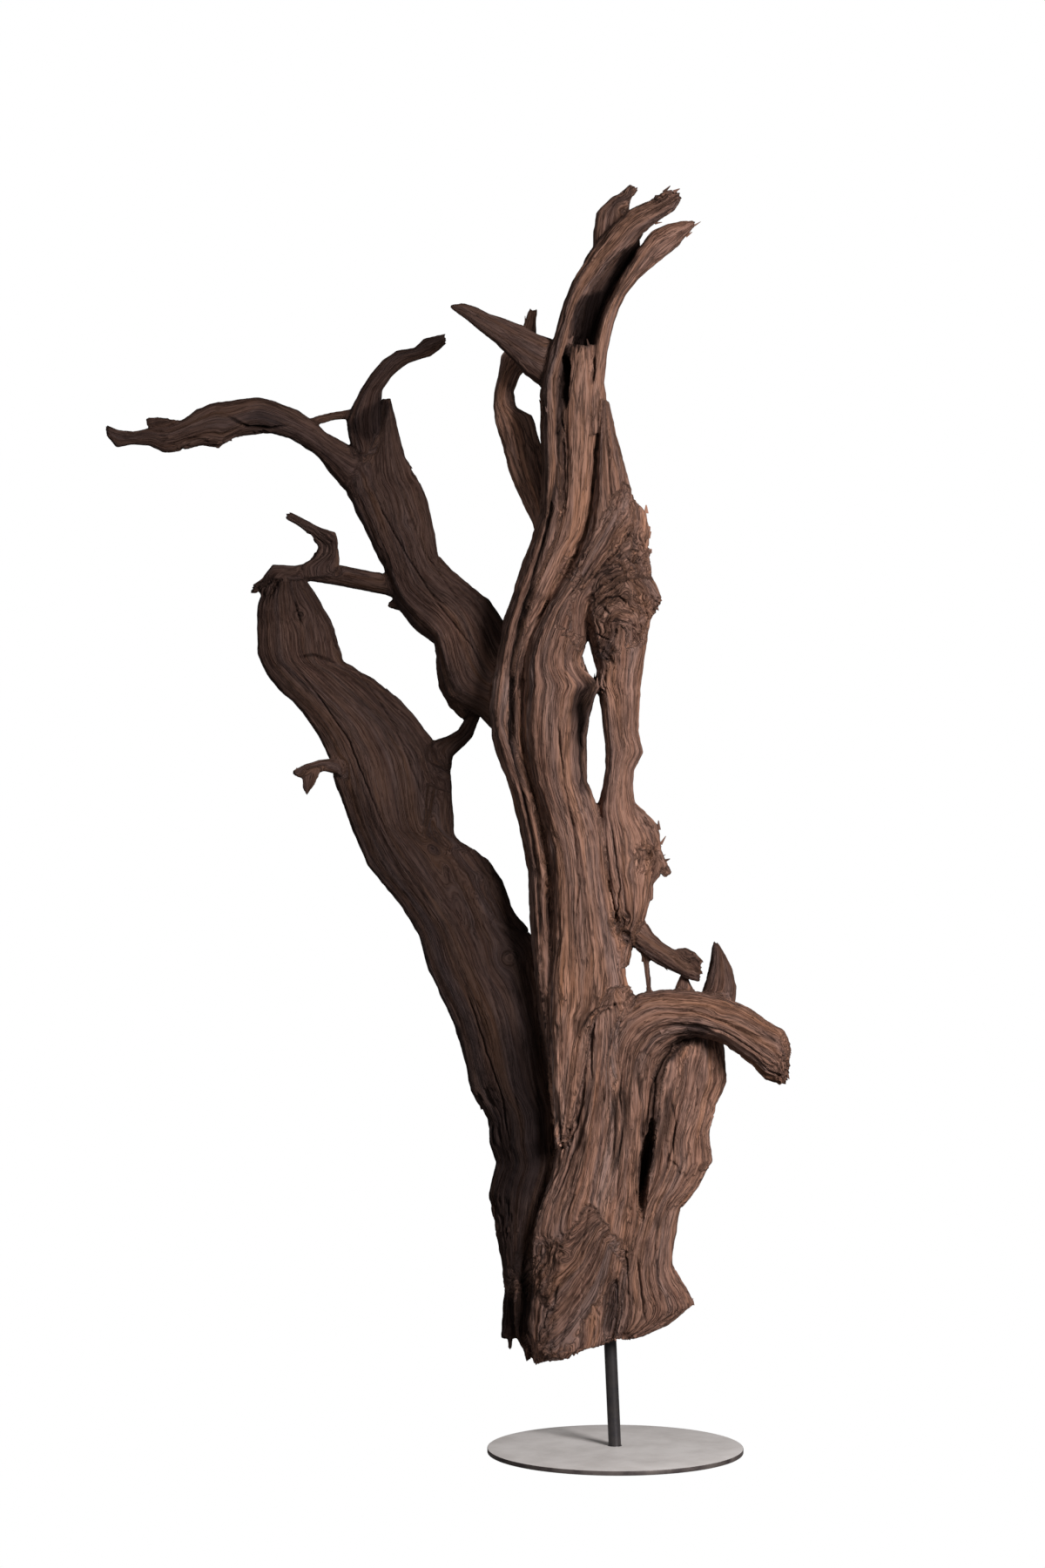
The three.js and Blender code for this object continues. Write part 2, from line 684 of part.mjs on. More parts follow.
const CUTS = [
  { ribs: SLAB_PIT, sides: 10, spacing: 45, ragged: [0, 0] },
  { ribs: ARM_GROOVE, sides: 8, spacing: 39, ragged: [0, 0] },
  { ribs: ROD_RECESS, sides: 10, spacing: 45, ragged: [0, 0] },
  { ribs: FOOT_VALLEY, sides: 8, spacing: 60, ragged: [0, 0] },
  { ribs: TWIG_PIT, sides: 8, spacing: 30, ragged: [0, 0] },
  { ribs: BACK_HOLLOW, sides: 10, spacing: 90, ragged: [0, 0] },
];

const wasm = await Module();
wasm.setup();

// Seeded draws between 0 and 1, so that the wood is the same each time
function seededDraw(seed) {
  let state = seed;
  return () => {
    state = (state + 0x6d2b79f5) | 0;
    let mixed = Math.imul(state ^ (state >>> 15), 1 | state);
    mixed = (mixed + Math.imul(mixed ^ (mixed >>> 7), 61 | mixed)) ^ mixed;
    return ((mixed ^ (mixed >>> 14)) >>> 0) / 4294967296;
  };
}

// The point at a given depth that the eye sees at a place on the sheet
function seenAt(sheetX, sheetY, depth) {
  const flat = new THREE.Vector3(
    (sheetX - SHEET_STAND.x) * SHEET_UNIT,
    0,
    (SHEET_STAND.y - sheetY) * SHEET_UNIT + PLATE_THICKNESS,
  );
  const stretch = (depth - EYE.y) / -EYE.y;
  return flat.sub(EYE).multiplyScalar(stretch).add(EYE);
}

// Distance from a section's middle to its edge, as a share of the half width and half thickness
function sectionReach(angle) {
  const across = Math.abs(Math.cos(angle)) ** SECTION_POWER;
  const through = Math.abs(Math.sin(angle)) ** SECTION_POWER;
  return (across + through) ** (-1 / SECTION_POWER);
}

// A closed surface through the ribs of a limb
function limbGeometry({ ribs, sides, spacing, ragged }, draw) {
  const left = new THREE.CatmullRomCurve3(ribs.map(([x, y, , , d]) => seenAt(x, y, d)));
  const right = new THREE.CatmullRomCurve3(ribs.map(([, , x, y, d]) => seenAt(x, y, d)));
  const thick = new THREE.CatmullRomCurve3(
    ribs.map(([, , , , , t], i) => new THREE.Vector3(t, i * spacing, 0)),
  );
  const middle = (t) => left.getPoint(t).add(right.getPoint(t)).multiplyScalar(0.5);
  const stations = [];
  for (let i = 0; i < ribs.length - 1; i++) {
    const start = i / (ribs.length - 1);
    const end = (i + 1) / (ribs.length - 1);
    const steps = Math.max(1, Math.round(middle(start).distanceTo(middle(end)) / spacing));
    for (let s = 0; s < steps; s++) stations.push(start + ((end - start) * s) / steps);
  }
  stations.push(1);
  const ridges = Array.from({ length: sides }, (_, k) => (k % 2 ? 1 : -1) * (0.4 + 0.6 * draw()));
  const phases = ridges.map(() => draw() * Math.PI * 2);
  const points = [];
  stations.forEach((t, row) => {
    const from = middle(Math.max(0, t - TANGENT_STEP));
    const to = middle(Math.min(1, t + TANGENT_STEP));
    const along = to.sub(from).normalize();
    const centre = middle(t);
    const across = right.getPoint(t).sub(left.getPoint(t)).multiplyScalar(0.5);
    const through = new THREE.Vector3().crossVectors(along, across).normalize();
    through.multiplyScalar(Math.max(THINNEST, thick.getPoint(t).x) / 2);
    const atStart = row === 0;
    const atEnd = row === stations.length - 1;
    for (let k = 0; k < sides; k++) {
      const angle = (k / sides) * Math.PI * 2;
      const wander = Math.sin(row * RIDGE_WANDER + phases[k]);
      const ridge = ridges[k] * (0.6 + 0.4 * wander) * Math.abs(Math.sin(angle));
      const reach = sectionReach(angle) * (1 + RIDGE_HEIGHT * ridge);
      const slip = (draw() - 0.5) * 2 * (atStart ? ragged[0] : atEnd ? ragged[1] : 0);
      points.push(
        centre
          .clone()
          .addScaledVector(across, Math.cos(angle) * reach)
          .addScaledVector(through, Math.sin(angle) * reach)
          .addScaledVector(along, slip),
      );
    }
  });
  points.push(middle(0), middle(1));
  const startCap = points.length - 2;
  const endCap = points.length - 1;
  const faces = [];
  const lastRow = (stations.length - 1) * sides;
  for (let k = 0; k < sides; k++) {
    const next = (k + 1) % sides;
    for (let base = 0; base < lastRow; base += sides) {
      faces.push(base + k, base + next, base + sides + next);
      faces.push(base + k, base + sides + next, base + sides + k);
    }
    faces.push(startCap, next, k);
    faces.push(endCap, lastRow + k, lastRow + next);
  }
  const geometry = new THREE.BufferGeometry().setFromPoints(points);
  geometry.setIndex(faces);
  return geometry;
}

// The solid that a closed geometry encloses
function solidFrom(geometry) {
  const bare = geometry.clone();
  bare.deleteAttribute("normal");
  bare.deleteAttribute("uv");
  const merged = mergeVertices(bare, MERGE_DISTANCE);
  return new wasm.Manifold(
    new wasm.Mesh({
      numProp: 3,
      vertProperties: new Float32Array(merged.getAttribute("position").array),
      triVerts: new Uint32Array(merged.index.array),
    }),
  );
}

function geometryFrom(solid) {
  const mesh = solid.getMesh();
  const geometry = new THREE.BufferGeometry();
  geometry.setAttribute("position", new THREE.BufferAttribute(mesh.vertProperties, 3));
  geometry.setIndex(new THREE.BufferAttribute(mesh.triVerts, 1));
  geometry.computeVertexNormals();
  return geometry;
}

// A round bar that leans with the rod, with level ends
function leaningBar(radius, length) {
  const bar = new THREE.CylinderGeometry(radius, radius, length, ROD_SIDES);
  bar.rotateX(Math.PI / 2);
  bar.translate(0, 0, length / 2);
  bar.applyMatrix4(new THREE.Matrix4().makeShear(0, 0, 0, 0, ROD_LEAN.x, ROD_LEAN.y));
  bar.translate(ROD_FOOT.x, ROD_FOOT.y, PLATE_THICKNESS);
  return bar;
}

// A round plate with its edges broken, lying on the ground
function plateGeometry() {
  const radius = PLATE_DIAMETER / 2;
  const flatRadius = radius - PLATE_EDGE_BREAK;
  const profile = [
    new THREE.Vector2(0, 0),
    new THREE.Vector2(flatRadius, 0),
    new THREE.Vector2(radius, PLATE_EDGE_BREAK),
    new THREE.Vector2(radius, PLATE_THICKNESS - PLATE_EDGE_BREAK),
    new THREE.Vector2(flatRadius, PLATE_THICKNESS),
    new THREE.Vector2(0, PLATE_THICKNESS),
  ];
  return new THREE.LatheGeometry(profile, PLATE_SIDES).rotateX(Math.PI / 2);
}

// The largest closed outer surface of a solid: scraps are dropped and sealed hollows are filled
function soundBody(solid) {
  const bodies = solid.decompose();
  return bodies.reduce((largest, body) => (body.volume() > largest.volume() ? body : largest));
}

function driftwoodGeometry() {
  const draw = seededDraw(DRAW_SEED);
  const limbs = LIMBS.map((limb) => solidFrom(limbGeometry(limb, draw)));
  const cuts = CUTS.map((cut) => solidFrom(limbGeometry(cut, draw)));
  const rodHole = solidFrom(leaningBar(ROD_DIAMETER / 2 + ROD_CLEARANCE, ROD_LENGTH + ROD_CLEARANCE));
  const joined = limbs.reduce((wood, limb) => wood.add(limb));
  const carved = [...cuts, rodHole].reduce((wood, cut) => wood.subtract(cut), joined);
  return geometryFrom(soundBody(carved));
}

function namedMesh(name, geometry, colour, sheen) {
  const material = new THREE.MeshStandardMaterial({ color: colour, ...sheen });
  const mesh = new THREE.Mesh(geometry, material);
  mesh.name = name;
  return mesh;
}

const sculpture = new THREE.Group();
sculpture.add(namedMesh("driftwood", driftwoodGeometry(), WOOD_COLOUR, WOOD_SHEEN));
sculpture.add(namedMesh("rod", leaningBar(ROD_DIAMETER / 2, ROD_LENGTH), STEEL_DARK, ROD_SHEEN));
sculpture.add(namedMesh("base_plate", plateGeometry(), STEEL_PLATE, PLATE_SHEEN));

export default sculpture;
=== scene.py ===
"""A piece of driftwood on a steel rod and plate: the carved wood surface, the steel stand, their
finishes, and the plain studio they stand in. Lengths are metres unless a name says otherwise."""
import math

import bmesh
import bpy
import numpy as np
from mathutils import Matrix, Vector


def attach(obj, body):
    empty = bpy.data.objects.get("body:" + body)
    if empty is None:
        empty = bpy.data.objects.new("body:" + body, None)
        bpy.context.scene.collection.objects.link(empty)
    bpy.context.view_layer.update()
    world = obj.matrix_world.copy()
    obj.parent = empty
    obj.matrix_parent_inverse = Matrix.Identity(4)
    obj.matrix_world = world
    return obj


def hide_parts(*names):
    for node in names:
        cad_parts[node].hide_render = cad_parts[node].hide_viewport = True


# The photograph's sheet: 1200 by 1800 units, seen by a level camera in front of the stand
SHEET_WIDTH = 1200
SHEET_HEIGHT = 1800
SHEET_UNIT_MM = 1.2095
STAND_X = 706.5
STAND_Y = 1661.1
PLATE_TOP_MM = 6.35
EYE_MM = np.array([-128.8, -5066.0, 926.9])
FOCAL_UNITS = 4189.0
SENSOR_MM = 36.0

# Wood surface
VOXEL_MM = 1.75
SOFTEN_ROUNDS = 14
WOOD_TRIANGLES = 740000
WOOD_SLICES = [
    ("driftwood_foot", None, 455), ("driftwood_waist", 455, 748), ("driftwood_middle", 748, 1052),
    ("driftwood_neck", 1052, 1265), ("driftwood_crown", 1265, None),
]
SPLINTERS_PER_M2 = 6000.0
SECTION_POWER = 2.3
STATION_MM = 9.0
BLEND_MM = 4.5
SWITCH_MM = 0.7
SEED = 61
LIMB_MARGIN_MM = 14.0
SPLINTER_LENGTH_M = 0.0075
SPLINTER_WIDTH_M = 0.0024
SPLINTER_LIFT = 0.22

# Large numbers that scatter lattice places over the table of slopes
SCATTER = (73856093, 19349663, 83492791, 2654435, 1274126177)

# Layers of noise along the fibres: width and length of a bump in mm, and the number of its draw
FLUTES = (30, 300, 5)
RIDGES = (11, 260, 6)
FINE_RIDGES = (4.6, 150, 7)
THREADS = (2.9, 90, 16)
FLAKES = (13, 120, 11)
CHIPS = (7, 40, 12)
LONG_CRACKS = (19, 300, 8)
LONG_CRACK_PLACES = (55, 140, 9)
SHORT_CRACKS = (8, 110, 13)
SHORT_CRACK_PLACES = (24, 60, 14)
CURLS = (6, 45, 17)
WIRES = (3.4, 36, 18)
TEARS = (5.5, 20, 33)
SPIKES = (4.2, 60, 10)
SHORT_SPIKES = (9, 60, 15)
GREY_PATCHES = (36, 260, 30)

# Taken off folded noise, so that its ridges and hollows about cancel out
FOLD_MEAN = 0.22

# Rows of the sheet between which the relief grows from the calm trunk to the rough foot
FOOT_ROWS = (1080, 1230)

# Stand
ROD_SEGMENTS = 64
PLATE_SEGMENTS = 192

PLATE_RADIUS_MM = 177.8
PLATE_EDGE_MM = 0.8
QUARTER = [math.pi / 2 * i / 4 for i in range(5)]
ROD_RADIUS_MM = 8.75
ROD_LENGTH_MM = 275.0
ROD_FOOT_MM = (-0.2, 12.0)
ROD_LEAN = -0.0453
WELD_MM = 1.1

# Colours, as light given back in red, green and blue
WOOD_DEEP = (0.078, 0.035, 0.024)
WOOD_MIDDLE = (0.18, 0.086, 0.058)
WOOD_LIGHT = (0.31, 0.166, 0.119)
WOOD_WARM = (0.33, 0.145, 0.068)
WOOD_GREY = (0.21, 0.142, 0.128)
# Near black, painted into hollows, cracks, grooves and slits as their shade, and into the wiry lines of knots
WOOD_SHADE_AND_KNOT_LINE = (0.014, 0.007, 0.005)
STEEL_DEEP = (0.034, 0.031, 0.034)
STEEL_WORN = (0.062, 0.054, 0.052)
PLATE_DULL = (0.6, 0.555, 0.535)
PLATE_BRIGHT = (0.77, 0.72, 0.7)
RIM_DEEP = (0.06, 0.045, 0.045)
RIM_WORN = (0.16, 0.13, 0.12)

# Studio lights: name, place, what it faces, size, power in watts
ROOM_LIGHT = 0.14
SOFT_BOXES = [
    ("key_light", (2.1, -3.1, 2.3), (0.0, 0.0, 0.9), (1.2, 1.6), 240.0),
    ("fill_light", (-2.4, -3.2, 1.6), (-0.1, 0.0, 0.9), (2.0, 2.0), 16.0),
]

# Each limb is named with the limb it grows from, the share of light its wood gives back, and ribs
# from root to tip: left x, left y, right x, right y in sheet units, depth and thickness in mm. That share
# is partly the wood's own tone and partly painted shade, low on limbs that lie in shadow, such as the
# left limbs and the hollow wall.
LIMBS = {
    "slab": (None, 1.2, [
        (615, 1565, 688, 1541, 0, 70), (610, 1553, 704, 1538, 0, 90), (606, 1530, 712, 1526, 0, 100),
        (614, 1400, 736, 1400, -2, 112), (634, 1340, 740, 1340, -6, 110), (652, 1250, 746, 1250, -10, 106),
        (662, 1168, 742, 1160, -10, 92), (660, 1146, 724, 1134, -8, 84),
    ]),
    "main_column": ("slab", 0.95, [
        (638, 1317, 648, 1315, -30, 30), (637, 1290, 662, 1290, -22, 58), (632, 1180, 696, 1178, -10, 92),
        (628, 1140, 722, 1140, -8, 96), (630, 1000, 697, 1000, -5, 96), (622, 950, 692, 950, -5, 95),
        (610, 898, 674, 898, -5, 94), (601, 845, 674, 846, -5, 94), (600, 802, 683, 801, -5, 94),
        (601, 788, 690, 788, -5, 95), (602, 772, 673, 770, -5, 95), (603, 755, 668, 755, -5, 95),
        (613, 722, 676, 720, -5, 94), (628, 692, 684, 690, -6, 92), (662, 638, 718, 640, -8, 84),
        (674, 604, 734, 600, -8, 78), (686, 500, 708, 500, -4, 56), (689, 462, 700, 462, -3, 40),
    ]),
    "big_arm": ("slab", 0.94, [
        (676, 1400, 736, 1395, -6, 70), (682, 1290, 746, 1285, -13, 92), (682, 1235, 748, 1240, -16, 96),
        (690, 1188, 754, 1214, -18, 98), (708, 1156, 766, 1202, -20, 98), (734, 1140, 784, 1192, -22, 96),
        (766, 1136, 802, 1188, -26, 92), (830, 1144, 838, 1200, -40, 80), (899, 1183, 880, 1240, -62, 60),
        (907, 1198, 894, 1243, -66, 48), (905, 1216, 903, 1242, -68, 28),
    ]),
    "foot_lobe": ("big_arm", 1.18, [
        (694, 1536, 738, 1533, 0, 60), (694, 1530, 769, 1519, 0, 76), (698, 1505, 798, 1497, 0, 84),
        (708, 1455, 773, 1452, 0, 92), (726, 1390, 781, 1386, 0, 92), (736, 1360, 803, 1360, 0, 90),
        (744, 1332, 817, 1332, 0, 88), (748, 1300, 814, 1298, 0, 88), (756, 1240, 834, 1240, 0, 84),
        (764, 1206, 832, 1206, 0, 76), (786, 1168, 824, 1180, 0, 56),
    ]),
    "middle_column": ("main_column", 1.0, [
        (618, 1110, 634, 1110, 10, 60), (615, 1020, 632, 1020, 10, 60), (606, 945, 626, 945, 10, 60),
        (584, 866, 604, 864, 10, 60), (577, 826, 602, 826, 10, 60), (576, 786, 602, 786, 10, 60),
        (584, 735, 610, 735, 6, 64), (606, 672, 640, 680, 2, 62), (622, 640, 660, 638, 0, 56),
        (636, 600, 676, 600, 0, 52), (642, 480, 688, 480, -4, 44), (654, 402, 683, 397, -5, 38),
    ]),
    "left_strand": ("main_column", 0.7, [
        (636, 1290, 650, 1290, 12, 40), (620, 1180, 648, 1180, 8, 65), (606, 1000, 632, 1000, 5, 72),
        (587, 914, 614, 912, 5, 75), (565, 848, 592, 846, 5, 75), (562, 815, 588, 815, 5, 75),
        (578, 712, 608, 720, 2, 70), (620, 588, 646, 590, 0, 64), (620, 455, 645, 456, 0, 60),
        (624, 426, 647, 430, 0, 58), (644, 356, 664, 366, -4, 52), (658, 318, 680, 332, -6, 50),
        (700, 261, 721, 288, -10, 42), (722, 240, 738, 268, -12, 36), (763, 218, 774, 243, -16, 20),
        (779, 219, 782, 229, -17, 9),
    ]),
    "right_column": ("main_column", 1.18, [
        (700, 1110, 720, 1110, 2, 60), (706, 1055, 740, 1056, 5, 62), (690, 1000, 750, 1002, 5, 62),
        (685, 960, 746, 962, 5, 62), (686, 925, 731, 928, 5, 60), (695, 882, 728, 884, 5, 54),
        (695, 861, 739, 864, 5, 54), (693, 838, 733, 838, 5, 54), (688, 801, 735, 801, 5, 58),
        (681, 787, 736, 788, 5, 62), (681, 754, 739, 756, 2, 74), (670, 712, 748, 712, -6, 104),
        (667, 688, 760, 686, -8, 112), (671, 665, 750, 665, -6, 106), (700, 588, 741, 588, 4, 64),
        (708, 566, 725, 570, 4, 48),
    ]),
    "right_strand": ("main_column", 1.0, [
        (672, 500, 706, 500, 0, 50), (676, 440, 694, 440, 0, 45), (688, 370, 705, 372, 0, 43),
        (706, 332, 719, 338, -1, 40), (732, 286, 752, 304, -4, 35), (748, 267, 766, 293, -6, 31),
        (766, 257, 779, 283, -8, 26), (796, 253, 798, 259, -10, 8),
    ]),
    "hollow_wall": ("right_strand", 0.15, [
        (652, 530, 690, 530, 12, 10), (646, 490, 694, 490, 18, 26), (645, 430, 693, 430, 24, 30),
        (655, 350, 706, 350, 27, 27), (668, 318, 720, 325, 27, 26), (690, 293, 734, 300, 25, 22),
        (722, 268, 734, 272, 18, 8),
    ]),
    "top_curl": ("left_strand", 0.62, [
        (680, 288, 710, 284, 10, 36), (684, 245, 719, 252, 16, 27), (710, 221, 724, 231, 19, 16),
        (722, 212, 733, 218, 20, 9),
    ]),
    "flap": ("right_column", 0.9, [
        (738, 1034, 750, 1036, 10, 28), (738, 1014, 751, 1014, 10, 32), (735, 992, 767, 993, 10, 36),
        (726, 948, 755, 946, 10, 40), (720, 920, 728, 920, 8, 26),
    ]),
    "flap_spike": ("flap", 0.9, [
        (740, 980, 752, 970, 8, 26), (763, 1007, 773, 1002, 4, 8),
    ]),
    "horn": ("big_arm", 0.45, [
        (802, 1152, 845, 1156, -8, 50), (809, 1126, 846, 1132, -4, 42), (817, 1090, 833, 1096, 6, 22),
        (819, 1083, 825, 1083, 9, 9),
    ]),
    "right_twig": ("right_column", 0.5, [
        (694, 1074, 728, 1044, 0, 44), (728, 1088, 750, 1071, -8, 34), (788, 1124, 796, 1104, -28, 20),
        (802, 1127, 806, 1112, -31, 12),
    ]),
    "twig_knob": ("right_twig", 0.5, [
        (769, 1102, 778, 1088, -14, 16), (794, 1111, 798, 1093, -24, 18), (805, 1111, 806, 1101, -28, 10),
    ]),
    "hanging_twig": ("right_twig", 0.7, [
        (734, 1090, 748, 1094, -9, 12), (742, 1146, 750, 1146, -20, 9),
    ]),
    "arm_stub": ("big_arm", 0.85, [
        (772, 1146, 804, 1146, -18, 30), (782, 1118, 789, 1118, -15, 9),
    ]),
    "left_limb": ("slab", 0.2, [
        (575, 1533, 608, 1540, 26, 46), (579, 1480, 612, 1482, 28, 58), (575, 1440, 620, 1440, 30, 66),
        (561, 1370, 652, 1372, 34, 76), (570, 1334, 660, 1336, 36, 78), (562, 1312, 662, 1308, 38, 80),
        (560, 1284, 662, 1276, 40, 80), (540, 1252, 656, 1240, 44, 80), (523, 1180, 642, 1156, 52, 78),
        (491, 1112, 622, 1086, 62, 74), (481, 1074, 600, 1064, 67, 72), (462, 1043, 588, 1040, 72, 70),
        (422, 994, 561, 986, 80, 66), (408, 962, 536, 974, 85, 64), (398, 935, 522, 958, 89, 62),
        (378, 873, 518, 884, 97, 60), (366, 845, 498, 850, 100, 58), (348, 818, 480, 826, 103, 56),
        (306, 774, 430, 780, 106, 52), (296, 750, 394, 759, 106, 50), (295, 716, 385, 722, 104, 50),
        (300, 678, 362, 680, 100, 44), (311, 664, 351, 665, 98, 32),
    ]),
    "limb_shoulder": ("left_limb", 0.2, [
        (500, 1104, 612, 1096, 62, 50), (500, 1068, 606, 1066, 66, 62), (500, 1030, 588, 1043, 70, 60),
        (490, 1000, 575, 1011, 74, 58), (470, 968, 552, 980, 80, 54), (470, 936, 521, 962, 86, 48),
        (480, 900, 519, 912, 92, 40),
    ]),
    "foot_fin": ("left_limb", 0.22, [
        (604, 1562, 612, 1556, 2, 12), (600, 1548, 614, 1546, 2, 26), (590, 1530, 612, 1530, 4, 34),
        (586, 1490, 612, 1490, 8, 40), (588, 1440, 622, 1440, 14, 40),
    ]),
    "middle_limb": ("middle_column", 0.23, [
        (600, 900, 640, 890, 34, 56), (573, 845, 634, 836, 42, 60), (549, 821, 614, 775, 52, 62),
        (514, 804, 596, 745, 62, 62), (498, 740, 561, 688, 82, 60), (459, 702, 522, 657, 98, 56),
        (448, 678, 504, 638, 104, 55), (408, 588, 488, 566, 120, 52), (396, 559, 478, 546, 124, 50),
        (412, 512, 461, 506, 130, 42), (432, 474, 453, 474, 133, 26), (438, 459, 448, 458, 134, 12),
    ]),
    "middle_lobe": ("middle_limb", 0.4, [
        (530, 826, 552, 820, 70, 20), (516, 812, 556, 806, 72, 38), (504, 790, 554, 786, 76, 46),
        (500, 762, 548, 760, 78, 48), (502, 736, 540, 724, 80, 44),
    ]),
    "limb_link": ("left_limb", 0.25, [
        (534, 812, 556, 808, 70, 26), (534, 825, 552, 822, 74, 22), (526, 838, 543, 846, 80, 20),
        (498, 850, 521, 868, 92, 30), (486, 864, 518, 886, 96, 38),
    ]),
    "long_arm": ("middle_limb", 0.25, [
        (420, 600, 462, 560, 122, 46), (396, 564, 442, 528, 128, 46), (366, 526, 396, 508, 126, 40),
        (332, 503, 362, 484, 117, 36), (303, 499, 320, 462, 104, 36), (288, 500, 297, 455, 97, 34),
        (270, 504, 279, 458, 89, 34), (251, 516, 262, 460, 81, 34), (232, 512, 243, 463, 74, 32),
        (187, 520, 197, 487, 56, 22), (171, 512, 174, 491, 48, 18), (134, 514, 136, 493, 34, 12),
        (124, 502, 122, 488, 30, 8),
    ]),
    "curled_arm": ("middle_limb", 0.24, [
        (404, 522, 446, 518, 122, 30), (399, 498, 440, 500, 120, 28), (397, 484, 438, 480, 118, 26),
        (403, 468, 438, 461, 116, 24), (414, 446, 440, 448, 113, 22), (439, 413, 460, 424, 105, 18),
        (456, 402, 470, 417, 101, 15), (476, 399, 482, 413, 97, 12), (487, 388, 494, 410, 94, 11),
        (510, 383, 512, 395, 89, 6),
    ]),
    "cross_twig": ("long_arm", 0.35, [
        (408, 468, 408, 481, 120, 11), (364, 477, 368, 487, 119, 11), (350, 482, 356, 496, 118, 14),
    ]),
    "side_branch": ("middle_limb", 0.24, [
        (486, 694, 478, 656, 98, 34), (462, 690, 456, 662, 102, 28), (365, 669, 362, 646, 108, 20),
        (340, 666, 338, 649, 106, 19), (318, 670, 313, 648, 104, 18), (302, 681, 300, 664, 102, 14),
        (289, 682, 291, 671, 100, 9),
    ]),
    "branch_stub": ("side_branch", 0.26, [
        (470, 708, 466, 686, 102, 20), (446, 698, 446, 690, 106, 8),
    ]),
    "standing_twig": ("side_branch", 0.26, [
        (346, 662, 388, 660, 104, 20), (344, 650, 390, 648, 100, 18), (358, 640, 391, 640, 96, 16),
        (364, 628, 390, 624, 93, 14), (355, 615, 387, 611, 90, 13), (328, 593, 334, 588, 83, 6),
    ]),
    "limb_twig": ("left_limb", 0.36, [
        (400, 902, 396, 868, 88, 26), (386, 890, 382, 870, 84, 20), (372, 886, 366, 872, 78, 16),
        (342, 893, 335, 885, 66, 8),
    ]),
    "hanging_scrap": ("limb_twig", 0.36, [
        (344, 884, 370, 880, 70, 9), (350, 912, 355, 911, 65, 5),
    ]),
    "back_branch": ("middle_column", 1.2, [
        (622, 640, 650, 630, 34, 44), (583, 534, 626, 525, 61, 32), (576, 508, 621, 510, 65, 30),
        (569, 486, 611, 477, 68, 28), (566, 468, 593, 467, 70, 26), (567, 449, 590, 449, 72, 25),
        (572, 430, 598, 430, 74, 24), (576, 409, 606, 424, 76, 23), (600, 376, 616, 386, 80, 16),
        (607, 356, 617, 357, 83, 7),
    ]),
    "upper_arm": ("left_strand", 0.35, [
        (638, 452, 658, 388, 6, 40), (622, 444, 636, 390, 6, 36), (525, 360, 533, 348, -22, 10),
        (517, 352, 520, 350, -25, 6),
    ]),
    "burl_fan": ("right_column", 0.82, [
        (668, 664, 690, 712, -8, 112), (682, 634, 714, 690, -8, 116), (700, 600, 744, 664, -8, 116),
        (716, 572, 762, 622, -6, 96),
    ]),
    "burl_curl": ("right_column", 0.85, [
        (664, 728, 694, 742, -6, 96), (668, 684, 700, 724, -8, 110), (696, 654, 708, 712, -8, 116),
        (736, 660, 718, 716, -8, 114), (758, 692, 724, 732, -6, 100),
    ]),
    "foot_patch": ("slab", 0.96, [
        (600, 1480, 634, 1556, 0, 104), (620, 1446, 664, 1528, 0, 112), (650, 1412, 690, 1486, -2, 114),
        (676, 1388, 704, 1430, -4, 112),
    ]),
    "back_foot": ("slab", 0.85, [
        (628, 1520, 690, 1520, 30, 30), (620, 1480, 700, 1480, 42, 60), (616, 1430, 708, 1430, 46, 74),
        (620, 1370, 716, 1370, 48, 80), (626, 1300, 716, 1300, 48, 82), (618, 1090, 690, 1090, 46, 70),
        (606, 950, 664, 950, 40, 58), (600, 890, 648, 890, 30, 30),
    ]),
    "back_strand": ("main_column", 0.85, [
        (620, 960, 664, 960, 20, 20), (604, 910, 664, 910, 32, 52), (592, 850, 656, 850, 38, 62),
        (588, 790, 654, 790, 36, 60), (596, 735, 660, 735, 32, 56), (618, 680, 678, 680, 28, 50),
        (640, 630, 702, 630, 22, 46), (652, 580, 708, 580, 18, 40), (656, 480, 694, 480, 6, 12),
    ]),
    "back_lobe": ("foot_lobe", 0.85, [
        (706, 1490, 762, 1490, 18, 36), (706, 1430, 764, 1430, 30, 58), (710, 1370, 776, 1370, 34, 62),
        (718, 1230, 800, 1230, 30, 54), (726, 1180, 796, 1180, 16, 20),
    ]),
}

# Guides that rule the fibres out to this distance in mm, though the wood there belongs to another limb
PULL_MM = {"burl_fan": 16, "burl_curl": 17, "foot_patch": 12}

# Knots, which the fibres flow around: sheet x and y, depth and radius in mm
KNOTS = [
    (345, 706, 80, 8), (510, 872, 68, 10), (585, 1100, 30, 14), (812, 1330, -36, 7), (735, 1000, -14, 8),
    (650, 1440, -48, 9), (830, 1160, -60, 10), (470, 600, 96, 8), (620, 1436, -40, 7), (796, 1206, -50, 9),
]

# Burls, where the fibres curl: sheet x and y, depth and reach in mm
BURLS = [
    (712, 676, -40, 52), (722, 632, -34, 38), (700, 716, -40, 34), (712, 1060, -30, 22),
    (735, 985, -10, 26),
    (714, 232, 12, 22), (758, 232, -12, 22), (310, 672, 90, 24), (366, 626, 84, 26),
    (790, 1100, -24, 18), (640, 1440, -46, 20),
]

# Places that lie in deep shade: width in mm, how dark, then points on the sheet
SHADED = [
    (30, 0.75, [(596, 1445), (604, 1490), (602, 1545)]),
    (84, 0.55, [(610, 1150), (600, 1200), (592, 1260), (592, 1340), (594, 1420)]),
    (20, 0.55, [(704, 1465), (701, 1540)]),
    (16, 0.6, [(641, 480), (644, 520), (639, 565), (632, 596), (623, 633), (606, 690), (597, 725),
               (590, 760),
               (588, 800), (588, 851), (600, 900), (610, 950)]),
    (18, 0.5, [(776, 1204), (796, 1190), (824, 1202)]),
]

